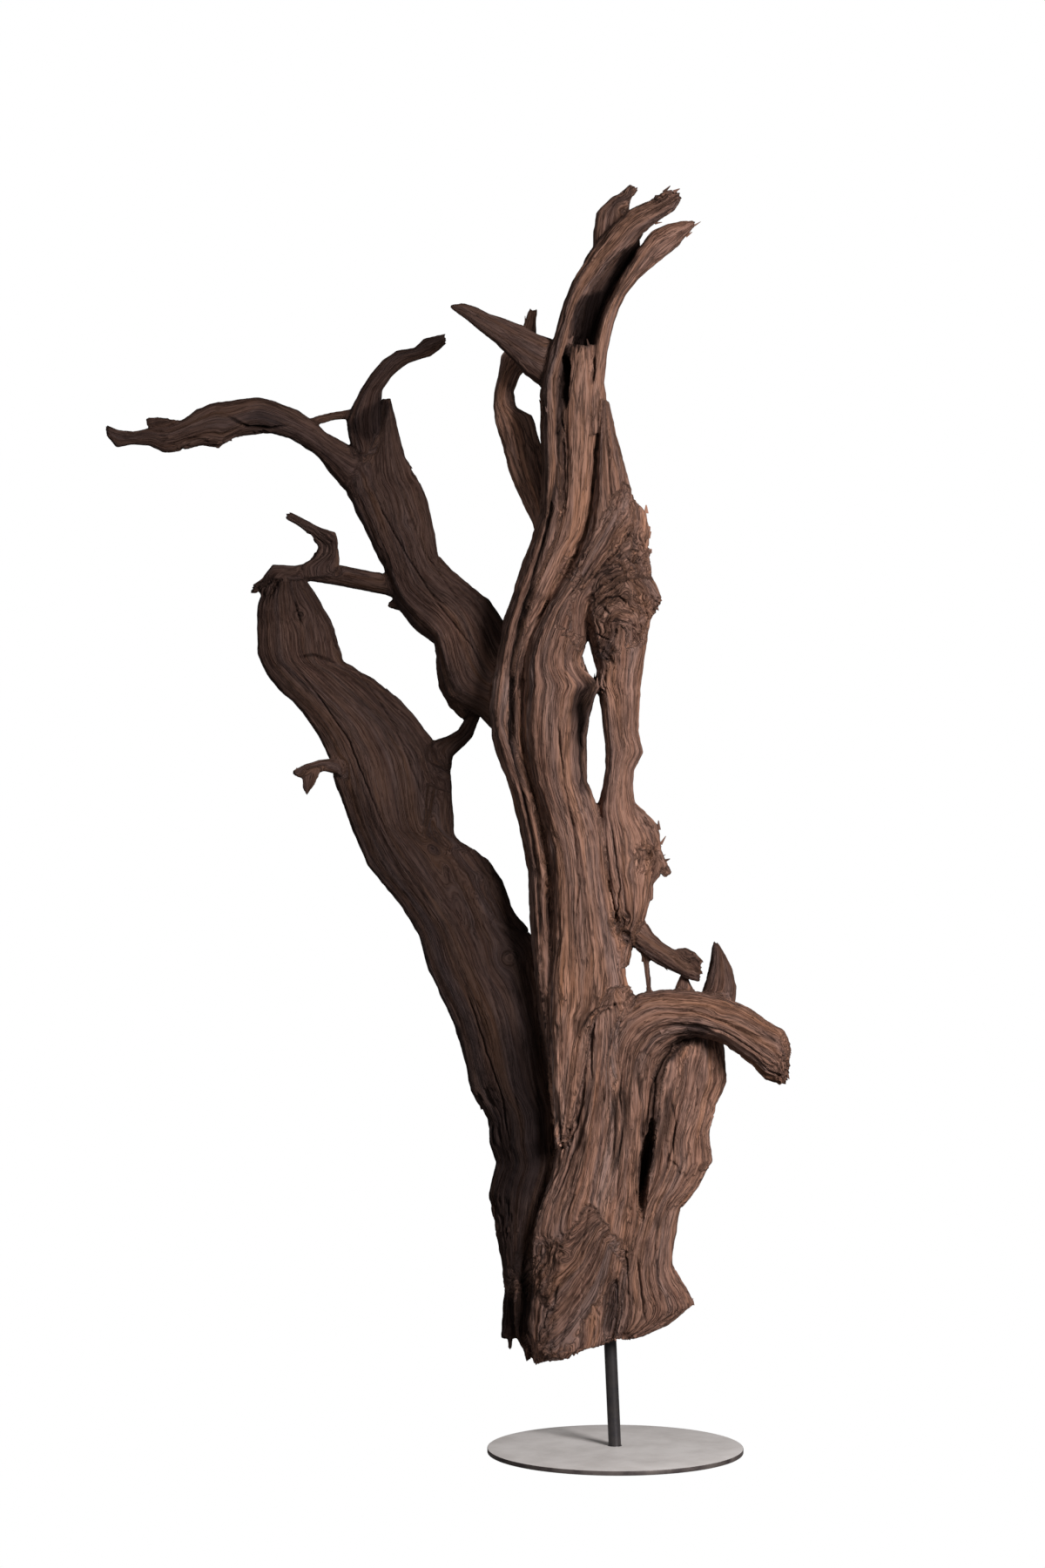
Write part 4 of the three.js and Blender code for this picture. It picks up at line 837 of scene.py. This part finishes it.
def carve(net):
    """Gives the wood its relief and splintered tips, and stores what the finish reads."""
    corners, _, edges = mesh_arrays(net.data)
    corners = soften(corners, edges, SOFTEN_ROUNDS)
    set_corners(net.data, corners)
    _, normals, _ = mesh_arrays(net.data)
    limbs = grown_limbs()
    fibre, thin, along, tone, tip = fibre_field(corners, limbs)
    knotted = swirl_round_knots(fibre, corners)
    burled = curl_in_burls(fibre, corners)
    sheet = on_sheet(corners)
    wavy = 0.45 + 0.55 * smooth_step(*FOOT_ROWS, sheet[:, 1])[:, None]
    sway = np.stack([fibre_noise(fibre, 75, 210, 1), fibre_noise(fibre, 75, 210, 2)], 1) * 8
    sway += np.stack([fibre_noise(fibre, 26, 75, 3), fibre_noise(fibre, 26, 75, 4)], 1) * 4 * wavy
    sway += np.stack([fibre_noise(fibre, 9, 26, 23), fibre_noise(fibre, 9, 26, 24)], 1) * 1.4 * wavy
    calm = 0.35 + 0.65 * smooth_step(0.36, 0.7, tone)
    fibre[:, :2] += sway * calm[:, None]

    size = np.clip(thin / 20, 0.2, 1)
    rough = smooth_step(0.36, 0.7, tone)
    smooth = along_lines(sheet, np.ones(len(sheet)), SMOOTH, 0.6)
    column = rough * (0.4 + 0.6 * smooth_step(*FOOT_ROWS, sheet[:, 1])) * (1 - smooth)
    flute = fibre_noise(fibre, *FLUTES)
    ridge = np.abs(fibre_noise(fibre, *RIDGES))
    fine = np.abs(fibre_noise(fibre, *FINE_RIDGES))
    thread = fibre_noise(fibre, *THREADS)
    flake = smooth_step(-0.05, 0.05, fibre_noise(fibre, *FLAKES)) - 0.5
    chip = smooth_step(-0.07, 0.07, fibre_noise(fibre, *CHIPS)) - 0.5
    long_crack = (1 - smooth_step(0.0, 0.1, np.abs(fibre_noise(fibre, *LONG_CRACKS)))) \
        * smooth_step(0.0, 0.25, fibre_noise(fibre, *LONG_CRACK_PLACES))
    short_crack = (1 - smooth_step(0.0, 0.2, np.abs(fibre_noise(fibre, *SHORT_CRACKS)))) \
        * smooth_step(0.02, 0.22, fibre_noise(fibre, *SHORT_CRACK_PLACES))
    crack = np.maximum(long_crack, 0.7 * short_crack) * (0.15 + 0.85 * np.sqrt(column)) * (1 - 0.5 * smooth)
    facing = smooth_step(0.05, 0.35, -normals[:, 1]) * (corners[:, 1] < 110)
    grooves = along_lines(sheet, facing, GROOVES, 0.8)
    front = smooth_step(-0.5, -0.1, -normals[:, 1])
    # Painted shade: the SHADED lines and DARK outlines darken the wood's colour where it lies in deep shade
    shade = np.maximum(along_lines(sheet, front, SHADED, 0.5), filled(sheet, front, DARK))
    # Bleached wood and painted highlights, which lighten and grey the colour
    pale_and_highlight = along_lines(sheet, front, PALE_AND_HIGHLIGHTS, 0.5)
    raised = raised_height(sheet, facing)
    coarse = (1.2 + 1.5 * column) * flute + (0.4 + 0.7 * column) * (ridge - FOLD_MEAN)
    coarse += (0.2 + 0.7 * column) * flake
    relief = coarse + (0.15 + 0.5 * rough) * chip - 5.0 * crack
    fine_share = 1.1 + 0.6 * rough * (1 - smooth) + 0.5 * column
    thread_share = (1.1 + 0.3 * rough) * (1 - 0.3 * smooth)
    relief += fine_share * (fine - FOLD_MEAN) + thread_share * thread
    lumps = 2.2 * lattice_noise(corners / 26, SEED + 61) + 1.3 * lattice_noise(corners / 11, SEED + 62)
    relief += (1 - 0.5 * smooth) * lumps
    curls = np.abs(fibre_noise(fibre * (1, 0.4, 1), *CURLS))
    wiry = np.abs(fibre_noise(fibre * (1, 0.4, 1), *WIRES))
    knobs = 3.0 * lattice_noise(corners / 16, SEED + 60)
    relief += burled * (knobs + 8.0 * (curls - FOLD_MEAN) + 4.5 * (wiry - FOLD_MEAN))
    fray = frayed(corners)
    torn = fray * smooth_step(-0.02, 0.2, fibre_noise(fibre, *TEARS))
    push = size * relief + raised - grooves * np.clip(thin / 12, 0.3, 1) - 4.5 * torn
    splinter = 1 - smooth_step(3, 22, tip)
    spikes = fibre_noise(fibre, *SPIKES) + 0.8 * fibre_noise(fibre, *SHORT_SPIKES)
    slide = splinter * (3 + 9 * size) * spikes
    carved = corners + normals * push[:, None] + along * slide[:, None]
    carved = carved + 0.18 * (neighbour_mean(carved, edges) - carved)
    set_corners(net.data, carved)

    level = neighbour_mean(push[:, None], edges)
    for _ in range(6):
        level = neighbour_mean(level, edges)
    patches = smooth_step(-0.1, 0.4, fibre_noise(fibre, *GREY_PATCHES))
    # Greyer in patches and where the surface faces towards -x, the left
    greying = (0.35 + 0.65 * rough) * 0.55 * patches + 0.45 * smooth_step(0.25, 0.9, -normals[:, 0])
    ragged = [0.1 * (1 - smooth_step(4, 30, tip)), 0.06 * burled, 0.08 * crack, 0.35 * fray]
    store(net.data, "grain", fibre / 1000)
    store(net.data, "grey", np.minimum(1, greying + 0.7 * pale_and_highlight * rough))
    store(net.data, "lie", along)
    store(net.data, "ragged", np.maximum.reduce(ragged))
    # The stored tone holds painted shade and painted light: the painted shade above darkens it, the pale
    # lines lighten it, and it is darker towards the top and the bottom of the sheet
    dimmed = 1 - 0.08 * smooth_step(-620, -460, -sheet[:, 1]) - 0.14 * smooth_step(1370, 1450, sheet[:, 1])
    store(net.data, "tone", tone * (1 - shade) * (1 + pale_and_highlight) * dimmed)
    store(net.data, "rough", rough * (1 - 0.6 * smooth))
    # How far each corner lies below its smoothed neighbours; the finish paints shade into these hollows and
    # lightens the crests
    store(net.data, "hollow", np.clip((level[:, 0] - push) / 1.1, -1, 1))
    gap = burled * np.maximum(1 - smooth_step(0.0, 0.09, curls), 0.9 - smooth_step(0.0, 0.12, wiry))
    # Painted shade: how dark the cracks, grooves and gaps in burls are painted
    store(net.data, "crack", np.clip(0.75 * crack + grooves / 9 + 0.75 * gap, 0, 1))
    store(net.data, "knot", np.maximum(0.8 * knotted, 0.75 * burled))
    return net


def thinned(net, name, triangles):
    """The same surface with fewer triangles, fewest where it is flat."""
    now = len(net.data.polygons) * 2
    fewer = net.modifiers.new("fewer", "DECIMATE")
    fewer.ratio = min(1.0, triangles / now)
    return plain_result(net, name)


def slice_of(whole, name, low_mm, high_mm):
    """The part of a closed mesh between two level planes, closed where it is cut."""
    shape = bmesh.new()
    shape.from_mesh(whole.data)
    for level, side in ((low_mm, -1), (high_mm, 1)):
        if level is None:
            continue
        cut = bmesh.ops.bisect_plane(
            shape, geom=shape.verts[:] + shape.edges[:] + shape.faces[:], dist=1e-7,
            plane_co=(0, 0, level / 1000), plane_no=(0, 0, side), clear_outer=True)
        rim = [part for part in cut["geom_cut"]
               if isinstance(part, bmesh.types.BMEdge) and part.is_valid and part.is_boundary]
        for edge in rim:
            edge.smooth = False
        bmesh.ops.triangle_fill(shape, edges=rim, use_beauty=False)
    loose = [edge for edge in shape.edges if not edge.link_faces]
    bmesh.ops.delete(shape, geom=loose, context="EDGES")
    bmesh.ops.triangulate(shape, faces=[face for face in shape.faces if len(face.verts) > 3])
    bmesh.ops.collapse(shape, edges=[edge for edge in shape.edges if len(edge.link_faces) > 2])
    mesh = bpy.data.meshes.new(name)
    shape.to_mesh(mesh)
    shape.free()
    mesh.shade_smooth()
    return new_object(name, mesh)


def splinter_tree():
    """A node tree that scatters closed splinters over frayed wood, each lying along the fibres."""
    tree = bpy.data.node_groups.new("splinters", "GeometryNodeTree")
    kinds = {"Geometry": "Geometry", "Density": "Float", "Length": "Float", "Width": "Float", "Lift": "Float",
             "Seed": "Int", "Material": "Material"}
    for label, kind in kinds.items():
        tree.interface.new_socket(label, in_out="INPUT", socket_type="NodeSocket" + kind)
    tree.interface.new_socket("Geometry", in_out="OUTPUT", socket_type="NodeSocketGeometry")
    given, result = node(tree, "NodeGroupInput"), node(tree, "NodeGroupOutput")
    link = tree.links.new

    def kept(name, data_type):
        made = node(tree, "GeometryNodeInputNamedAttribute", data_type=data_type)
        made.inputs["Name"].default_value = name
        return made.outputs["Attribute"]

    def drawn(low, high, offset):
        made = node(tree, "FunctionNodeRandomValue", data_type="FLOAT_VECTOR")
        made.inputs["Min"].default_value = low
        made.inputs["Max"].default_value = high
        link(math_node(tree, "ADD", given.outputs["Seed"], offset), made.inputs["Seed"])
        return made.outputs["Value"]

    def vector_node(operation, a, b):
        made = node(tree, "ShaderNodeVectorMath", operation=operation)
        link(a, made.inputs[0])
        link(b, made.inputs["Scale"] if operation == "SCALE" else made.inputs[1])
        return made.outputs["Vector"]

    spread = node(tree, "GeometryNodeDistributePointsOnFaces", distribute_method="RANDOM")
    link(given.outputs["Geometry"], spread.inputs["Mesh"])
    density = math_node(tree, "MULTIPLY", kept("ragged", "FLOAT"), given.outputs["Density"])
    link(density, spread.inputs["Density"])
    link(given.outputs["Seed"], spread.inputs["Seed"])
    lift = vector_node("SCALE", spread.outputs["Normal"], given.outputs["Lift"])
    aim = vector_node("ADD", kept("lie", "FLOAT_VECTOR"), lift)
    aim = vector_node("ADD", aim, drawn((-0.22,) * 3, (0.22,) * 3, 1))
    turn = node(tree, "FunctionNodeAlignRotationToVector", axis="Z")
    link(aim, turn.inputs["Vector"])
    size = node(tree, "ShaderNodeCombineXYZ")
    link(given.outputs["Width"], size.inputs["X"])
    link(math_node(tree, "MULTIPLY", given.outputs["Width"], 0.5), size.inputs["Y"])
    link(given.outputs["Length"], size.inputs["Z"])
    cone = node(tree, "GeometryNodeMeshCone")
    for label, value in (("Vertices", 5), ("Side Segments", 2), ("Radius Top", 0.25),
                         ("Radius Bottom", 1.0), ("Depth", 1.0)):
        cone.inputs[label].default_value = value
    put = node(tree, "GeometryNodeInstanceOnPoints")
    link(spread.outputs["Points"], put.inputs["Points"])
    link(cone.outputs["Mesh"], put.inputs["Instance"])
    link(turn.outputs["Rotation"], put.inputs["Rotation"])
    sizes = drawn((0.4, 0.5, 0.3), (1.7, 1.5, 1.9), 2)
    link(vector_node("MULTIPLY", size.outputs[0], sizes), put.inputs["Scale"])
    real = node(tree, "GeometryNodeRealizeInstances")
    link(put.outputs["Instances"], real.inputs["Geometry"])
    coat = node(tree, "GeometryNodeSetMaterial")
    link(real.outputs["Geometry"], coat.inputs["Geometry"])
    link(given.outputs["Material"], coat.inputs["Material"])
    link(coat.outputs["Geometry"], result.inputs["Geometry"])
    return tree


def scattered(source, name, tree, **values):
    """What a scattering tree puts on a copy of an object, as a plain mesh."""
    bed = new_object(name + "_bed", source.data.copy())
    scatter = bed.modifiers.new("scatter", "NODES")
    scatter.node_group = tree
    sockets = {item.name: item.identifier for item in tree.interface.items_tree if item.in_out == "INPUT"}
    for label, value in values.items():
        scatter[sockets[label]] = value
    return plain_result(bed, name)


def build_wood(finish):
    """The carved wood in level slices, each small enough to keep all its triangles, and its splinters."""
    whole = thinned(carve(voxel_skin("driftwood")), "wood_whole", WOOD_TRIANGLES)
    splinters = scattered(whole, "driftwood_splinters", splinter_tree(), Density=SPLINTERS_PER_M2,
                          Length=SPLINTER_LENGTH_M, Width=SPLINTER_WIDTH_M, Lift=SPLINTER_LIFT, Seed=SEED,
                          Material=finish)
    for name in ("lie", "ragged"):
        whole.data.attributes.remove(whole.data.attributes[name])
        splinters.data.attributes.remove(splinters.data.attributes[name])
    slices = [slice_of(whole, *limits) for limits in WOOD_SLICES]
    bpy.data.objects.remove(whole)
    for piece in slices:
        piece.data.materials.append(finish)
    return slices, splinters


# Finishes


def node(tree, kind, **values):
    """A new node with the given settings."""
    made = tree.nodes.new(kind)
    for key, value in values.items():
        setattr(made, key, value)
    return made


def math_node(tree, operation, a, b=None, clamp=False):
    """A sum, product or the like of two sockets or numbers."""
    made = node(tree, "ShaderNodeMath", operation=operation, use_clamp=clamp)
    for socket, value in zip(made.inputs, (a, b)):
        if isinstance(value, (int, float)):
            socket.default_value = value
        elif value is not None:
            tree.links.new(value, socket)
    return made.outputs[0]


def mixed(tree, share, a, b, blend="MIX"):
    """A mix of two colours, given as sockets or values."""
    made = node(tree, "ShaderNodeMix", data_type="RGBA", blend_type=blend)
    for socket, value in ((made.inputs[0], share), (made.inputs[6], a), (made.inputs[7], b)):
        if isinstance(value, bpy.types.NodeSocket):
            tree.links.new(value, socket)
        elif isinstance(value, (int, float)):
            socket.default_value = value
        else:
            socket.default_value = (*value, 1)
    return made.outputs[2]


def stretched_noise(tree, vector, scale, detail=3.0, roughness=0.55):
    """Noise on a vector whose three axes are scaled apart."""
    mapping = node(tree, "ShaderNodeMapping")
    mapping.inputs["Scale"].default_value = scale
    tree.links.new(vector, mapping.inputs["Vector"])
    noise = node(tree, "ShaderNodeTexNoise")
    noise.inputs["Scale"].default_value = 1.0
    noise.inputs["Detail"].default_value = detail
    noise.inputs["Roughness"].default_value = roughness
    tree.links.new(mapping.outputs[0], noise.inputs["Vector"])
    return noise.outputs["Fac"]


def ranged(tree, value, low, high, to_low=0.0, to_high=1.0):
    made = node(tree, "ShaderNodeMapRange")
    for socket, number in zip(made.inputs[1:5], (low, high, to_low, to_high)):
        socket.default_value = number
    tree.links.new(value, made.inputs[0])
    return made.outputs[0]


def effect_group(name, inputs, outputs):
    """An empty node group with named sockets. Each is a name, a kind and a starting value."""
    tree = bpy.data.node_groups.new(name, "ShaderNodeTree")
    for label, kind, value in inputs:
        socket = tree.interface.new_socket(label, in_out="INPUT", socket_type=kind)
        if value is not None:
            socket.default_value = value
    for label, kind in outputs:
        tree.interface.new_socket(label, in_out="OUTPUT", socket_type=kind)
    return tree, node(tree, "NodeGroupInput"), node(tree, "NodeGroupOutput")


def place_group(tree, group, **values):
    made = node(tree, "ShaderNodeGroup", node_tree=group)
    for label, value in values.items():
        socket = made.inputs[label.replace("_", " ")]
        if isinstance(value, bpy.types.NodeSocket):
            tree.links.new(value, socket)
        else:
            socket.default_value = value
    return made


def fibre_group():
    """Streaks and fine threads that run along the fibres, as masks and a height."""
    tree, given, result = effect_group(
        "fibre",
        [("Fibre", "NodeSocketVector", None), ("Thread", "NodeSocketFloat", 1.0),
         ("Hair", "NodeSocketFloat", 0.45)],
        [("Streaks", "NodeSocketFloat"), ("Threads", "NodeSocketFloat"), ("Gaps", "NodeSocketFloat"),
         ("Height", "NodeSocketFloat")],
    )
    fibre = given.outputs["Fibre"]
    streaks = stretched_noise(tree, fibre, (130, 130, 5), 5, 0.65)
    threads = stretched_noise(tree, fibre, (330, 330, 9), 4, 0.65)
    hairs = stretched_noise(tree, fibre, (1300, 1300, 40), 2, 0.6)
    gaps = None
    for across, along, spread, share in ((150, 6, 61, 0.9), (370, 13, 140, 0.9)):
        lines = stretched_noise(tree, fibre, (across, across, along), 2)
        apart = math_node(tree, "ABSOLUTE", math_node(tree, "SUBTRACT", lines, 0.5))
        here = ranged(tree, stretched_noise(tree, fibre, (spread, spread, along * 1.7), 2), 0.36, 0.54)
        slit = math_node(tree, "MULTIPLY", ranged(tree, apart, 0.008, 0.045, share, 0.0), here)
        gaps = math_node(tree, "MAXIMUM", gaps, slit) if gaps else slit
    height = math_node(tree, "ADD", math_node(tree, "MULTIPLY", threads, given.outputs["Thread"]),
                       math_node(tree, "MULTIPLY", hairs, given.outputs["Hair"]))
    height = math_node(tree, "SUBTRACT", height, gaps)
    tree.links.new(streaks, result.inputs["Streaks"])
    tree.links.new(threads, result.inputs["Threads"])
    tree.links.new(gaps, result.inputs["Gaps"])
    tree.links.new(height, result.inputs["Height"])
    return tree


def new_material(name):
    material = bpy.data.materials.new(name)
    material.use_nodes = True
    tree = material.node_tree
    return material, tree, tree.nodes["Principled BSDF"]


def attribute_of(tree, name, output="Fac"):
    return node(tree, "ShaderNodeAttribute", attribute_name=name).outputs[output]


def weathered_wood():
    material, tree, shader = new_material("weathered_wood")
    grain = attribute_of(tree, "grain", "Vector")
    hollow = attribute_of(tree, "hollow")
    crack = attribute_of(tree, "crack")
    tone = attribute_of(tree, "tone")
    knot = attribute_of(tree, "knot")
    grey = attribute_of(tree, "grey")
    rough = attribute_of(tree, "rough")
    fibre = place_group(tree, fibre_group(), Fibre=grain)
    streak = ranged(tree, fibre.outputs["Streaks"], 0.25, 0.7)
    thread = ranged(tree, fibre.outputs["Threads"], 0.41, 0.59)
    greying = ranged(tree, stretched_noise(tree, grain, (70, 70, 4), 4, 0.65), 0.36, 0.62)
    glow = ranged(tree, stretched_noise(tree, grain, (55, 55, 3), 4, 0.65), 0.46, 0.66)
    colour = mixed(tree, streak, WOOD_DEEP, WOOD_MIDDLE)
    colour = mixed(tree, math_node(tree, "MULTIPLY", thread, 0.75), colour, WOOD_LIGHT)
    colour = mixed(tree, math_node(tree, "MULTIPLY", glow, 0.38), colour, WOOD_WARM)
    patches = math_node(tree, "MULTIPLY", greying, 0.35)
    greyed = math_node(tree, "ADD", patches, math_node(tree, "MULTIPLY", grey, 0.75))
    colour = mixed(tree, math_node(tree, "MULTIPLY", greyed, greying, True), colour, WOOD_GREY)
    crest = ranged(tree, hollow, -0.9, 0.1, 0.3, 0.0)
    colour = mixed(tree, crest, colour, WOOD_LIGHT)
    # Painted shade: the hollows of the relief are darkened towards the crack colour
    low = ranged(tree, hollow, 0.0, 0.9, 0.0, 0.55)
    low = math_node(tree, "MULTIPLY", low, ranged(tree, rough, 0.0, 1.0, 0.6, 1.0))
    # Painted shade in cracks, grooves and burl gaps
    dark = math_node(tree, "MAXIMUM", low, ranged(tree, crack, 0.15, 0.8, 0.0, 0.92))
    low = math_node(tree, "MULTIPLY", knot, ranged(tree, fibre.outputs["Threads"], 0.44, 0.56, 0.85, 0.0))
    dark = math_node(tree, "MAXIMUM", dark, low)
    # Painted shade in the fine slits along the fibres
    gaps = math_node(tree, "MULTIPLY", fibre.outputs["Gaps"], ranged(tree, rough, 0.0, 1.0, 0.25, 0.8))
    dark = math_node(tree, "MAXIMUM", dark, gaps)
    colour = mixed(tree, dark, colour, WOOD_SHADE_AND_KNOT_LINE)
    # The tone, with the painted shade in it, darkens the colour; it also scales the sheen
    shade = node(tree, "ShaderNodeCombineColor")
    for socket, power in zip(shade.inputs, (1.0, 0.94, 0.86)):
        tree.links.new(math_node(tree, "POWER", tone, power), socket)
    colour = mixed(tree, 1.0, colour, shade.outputs[0], "MULTIPLY")
    tree.links.new(colour, shader.inputs["Base Color"])
    tree.links.new(ranged(tree, fibre.outputs["Threads"], 0.3, 0.7, 0.82, 0.66), shader.inputs["Roughness"])
    tree.links.new(math_node(tree, "MULTIPLY", tone, 0.12), shader.inputs["Specular IOR Level"])
    bump = node(tree, "ShaderNodeBump")
    bump.inputs["Strength"].default_value = 0.9
    bump.inputs["Distance"].default_value = 0.0016
    tree.links.new(fibre.outputs["Height"], bump.inputs["Height"])
    tree.links.new(bump.outputs["Normal"], shader.inputs["Normal"])
    return material


def mottle_group():
    """Cloudy stains and fine scratches of bare steel."""
    tree, given, result = effect_group(
        "steel_mottle",
        [("Cloud Scale", "NodeSocketFloat", 20.0), ("Speck Scale", "NodeSocketFloat", 400.0)],
        [("Clouds", "NodeSocketFloat"), ("Specks", "NodeSocketFloat")],
    )
    place = node(tree, "ShaderNodeTexCoord").outputs["Object"]
    for scale, label, detail in (("Cloud Scale", "Clouds", 6.0), ("Speck Scale", "Specks", 2.0)):
        noise = node(tree, "ShaderNodeTexNoise")
        noise.inputs["Detail"].default_value = detail
        noise.inputs["Roughness"].default_value = 0.6
        tree.links.new(place, noise.inputs["Vector"])
        tree.links.new(given.outputs[scale], noise.inputs["Scale"])
        tree.links.new(noise.outputs["Fac"], result.inputs[label])
    return tree


def steel(name, mottle, dark, light, cloud_scale, metal, roughness):
    """Bare steel with clouds between two colours."""
    material, tree, shader = new_material(name)
    stains = place_group(tree, mottle, Cloud_Scale=cloud_scale, Speck_Scale=900.0)
    colour = mixed(tree, ranged(tree, stains.outputs["Clouds"], 0.36, 0.64), dark, light)
    tree.links.new(colour, shader.inputs["Base Color"])
    shader.inputs["Metallic"].default_value = metal
    low, high = roughness
    tree.links.new(ranged(tree, stains.outputs["Clouds"], 0.3, 0.7, high, low), shader.inputs["Roughness"])
    bump = node(tree, "ShaderNodeBump")
    bump.inputs["Strength"].default_value = 0.35
    bump.inputs["Distance"].default_value = 0.0002
    tree.links.new(stains.outputs["Specks"], bump.inputs["Height"])
    tree.links.new(bump.outputs["Normal"], shader.inputs["Normal"])
    return material


# Stand


def turned(name, profile, segments, place=lambda point: point):
    """A closed round mesh from a profile of (radius, height) in mm that starts and ends on the axis."""
    shape = bmesh.new()
    rings = []
    for radius, height in profile:
        count = 1 if radius == 0 else segments
        turns = [2 * math.pi * i / segments for i in range(count)]
        spots = [Vector((radius * math.cos(a), radius * math.sin(a), height)) for a in turns]
        rings.append([shape.verts.new(place(spot) / 1000) for spot in spots])
    for below, above in zip(rings[:-1], rings[1:]):
        for i in range(segments):
            j = (i + 1) % segments
            corners = [below[i % len(below)], below[j % len(below)],
                       above[j % len(above)], above[i % len(above)]]
            shape.faces.new(list(dict.fromkeys(corners)))
    bmesh.ops.recalc_face_normals(shape, faces=shape.faces)
    mesh = bpy.data.meshes.new(name)
    shape.to_mesh(mesh)
    shape.free()
    mesh.shade_smooth()
    mesh.set_sharp_from_angle(angle=math.radians(35))
    return new_object(name, mesh)


def build_plate():
    radius, top, edge = PLATE_RADIUS_MM, PLATE_TOP_MM, PLATE_EDGE_MM
    profile = [(0, 0), (radius * 0.5, 0), (radius - edge, 0)]
    profile += [(radius - edge + edge * math.sin(a), edge - edge * math.cos(a)) for a in QUARTER[1:]]
    profile += [(radius - edge + edge * math.cos(a), top - edge + edge * math.sin(a)) for a in QUARTER]
    profile += [(radius * 0.66, top), (radius * 0.33, top), (0, top)]
    return turned("stand_plate", profile, PLATE_SEGMENTS)


def along_rod(point):
    """A point of an upright rod moved to where the leaning rod has it."""
    rise = point.z - PLATE_TOP_MM
    return Vector((point.x + ROD_FOOT_MM[0] + ROD_LEAN * rise, point.y + ROD_FOOT_MM[1], point.z))


def build_rod():
    low, high = PLATE_TOP_MM, PLATE_TOP_MM + ROD_LENGTH_MM
    steps = [low + (high - low) * i / 12 for i in range(13)]
    profile = [(0, low)] + [(ROD_RADIUS_MM, z) for z in steps] + [(0, high)]
    return turned("stand_rod", profile, ROD_SEGMENTS, along_rod)


def build_weld():
    """The low bead where the rod meets the plate."""
    low = PLATE_TOP_MM - 0.2
    inner, outer = ROD_RADIUS_MM - 1, ROD_RADIUS_MM + WELD_MM
    bulge = [(outer - WELD_MM * (1 - math.cos(a)), low + 0.2 + WELD_MM * math.sin(a)) for a in QUARTER]
    profile = [(0, low), (outer, low)] + bulge + [(inner, low + WELD_MM + 0.3), (0, low + WELD_MM + 0.3)]
    return turned("stand_weld", profile, ROD_SEGMENTS, along_rod)


# Studio


def build_floor():
    bpy.ops.mesh.primitive_plane_add(size=60, location=(0, 0, -0.0005))
    floor = bpy.context.object
    floor.name = "studio_floor"
    material, tree, shader = new_material("studio_white")
    glow = node(tree, "ShaderNodeEmission")
    glow.inputs["Color"].default_value = (1, 1, 1, 1)
    glow.inputs["Strength"].default_value = 1.0
    tree.links.new(glow.outputs[0], tree.nodes["Material Output"].inputs["Surface"])
    tree.nodes.remove(shader)
    floor.data.materials.append(material)
    floor.visible_diffuse = False
    floor.visible_shadow = False
    floor.visible_glossy = False


def build_world():
    world = bpy.data.worlds.new("studio")
    bpy.context.scene.world = world
    world.use_nodes = True
    tree = world.node_tree
    room = tree.nodes["Background"]
    room.inputs["Color"].default_value = (1.0, 0.985, 0.97, 1)
    room.inputs["Strength"].default_value = ROOM_LIGHT
    backdrop = node(tree, "ShaderNodeBackground")
    backdrop.inputs["Color"].default_value = (1, 1, 1, 1)
    seen = node(tree, "ShaderNodeLightPath").outputs["Is Camera Ray"]
    choice = node(tree, "ShaderNodeMixShader")
    tree.links.new(seen, choice.inputs[0])
    tree.links.new(room.outputs[0], choice.inputs[1])
    tree.links.new(backdrop.outputs[0], choice.inputs[2])
    tree.links.new(choice.outputs[0], tree.nodes["World Output"].inputs["Surface"])


def soft_box(name, place, aim, size, power):
    lamp = bpy.data.lights.new(name, "AREA")
    lamp.shape = "RECTANGLE"
    lamp.size, lamp.size_y = size
    lamp.energy = power
    made = bpy.data.objects.new(name, lamp)
    bpy.context.scene.collection.objects.link(made)
    made.location = place
    made.rotation_euler = (Vector(place) - Vector(aim)).to_track_quat("Z", "Y").to_euler()


def build_camera():
    lens = bpy.data.cameras.new("camera")
    lens.sensor_width = SENSOR_MM
    lens.lens = FOCAL_UNITS / SHEET_HEIGHT * SENSOR_MM
    camera = bpy.data.objects.new("camera", lens)
    bpy.context.scene.collection.objects.link(camera)
    camera.location = Vector(EYE_MM.tolist()) / 1000
    camera.rotation_euler = (math.pi / 2, 0, 0)
    bpy.context.scene.camera = camera


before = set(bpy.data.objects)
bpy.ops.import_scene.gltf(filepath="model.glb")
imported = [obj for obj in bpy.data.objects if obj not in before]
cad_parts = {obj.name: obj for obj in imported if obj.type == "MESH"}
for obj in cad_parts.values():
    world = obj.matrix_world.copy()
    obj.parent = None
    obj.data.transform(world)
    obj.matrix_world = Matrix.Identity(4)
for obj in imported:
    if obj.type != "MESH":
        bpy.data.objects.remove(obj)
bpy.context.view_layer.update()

build_camera()
build_floor()
build_world()
for box in SOFT_BOXES:
    soft_box(*box)
bpy.context.scene.view_settings.view_transform = "Standard"

mottle = mottle_group()
dark_steel = steel("dark_steel", mottle, STEEL_DEEP, STEEL_WORN, 60.0, 0.55, (0.3, 0.48))
plate_steel = steel("plate_steel", mottle, PLATE_DULL, PLATE_BRIGHT, 16.0, 0.08, (0.38, 0.55))
rim_steel = steel("rim_steel", mottle, RIM_DEEP, RIM_WORN, 30.0, 0.4, (0.4, 0.6))

wood_slices, splinters = build_wood(weathered_wood())
for piece in wood_slices:
    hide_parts("driftwood")

plate = build_plate()
plate.data.materials.append(plate_steel)
plate.data.materials.append(rim_steel)
for face in plate.data.polygons:
    face.material_index = 1 if face.normal.z < 0.9 else 0
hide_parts("base_plate")

rod = build_rod()
weld = build_weld()
for piece in (rod, weld):
    piece.data.materials.append(dark_steel)
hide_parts("rod")

for piece in (*wood_slices, splinters, plate, rod, weld):
    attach(piece, "root")
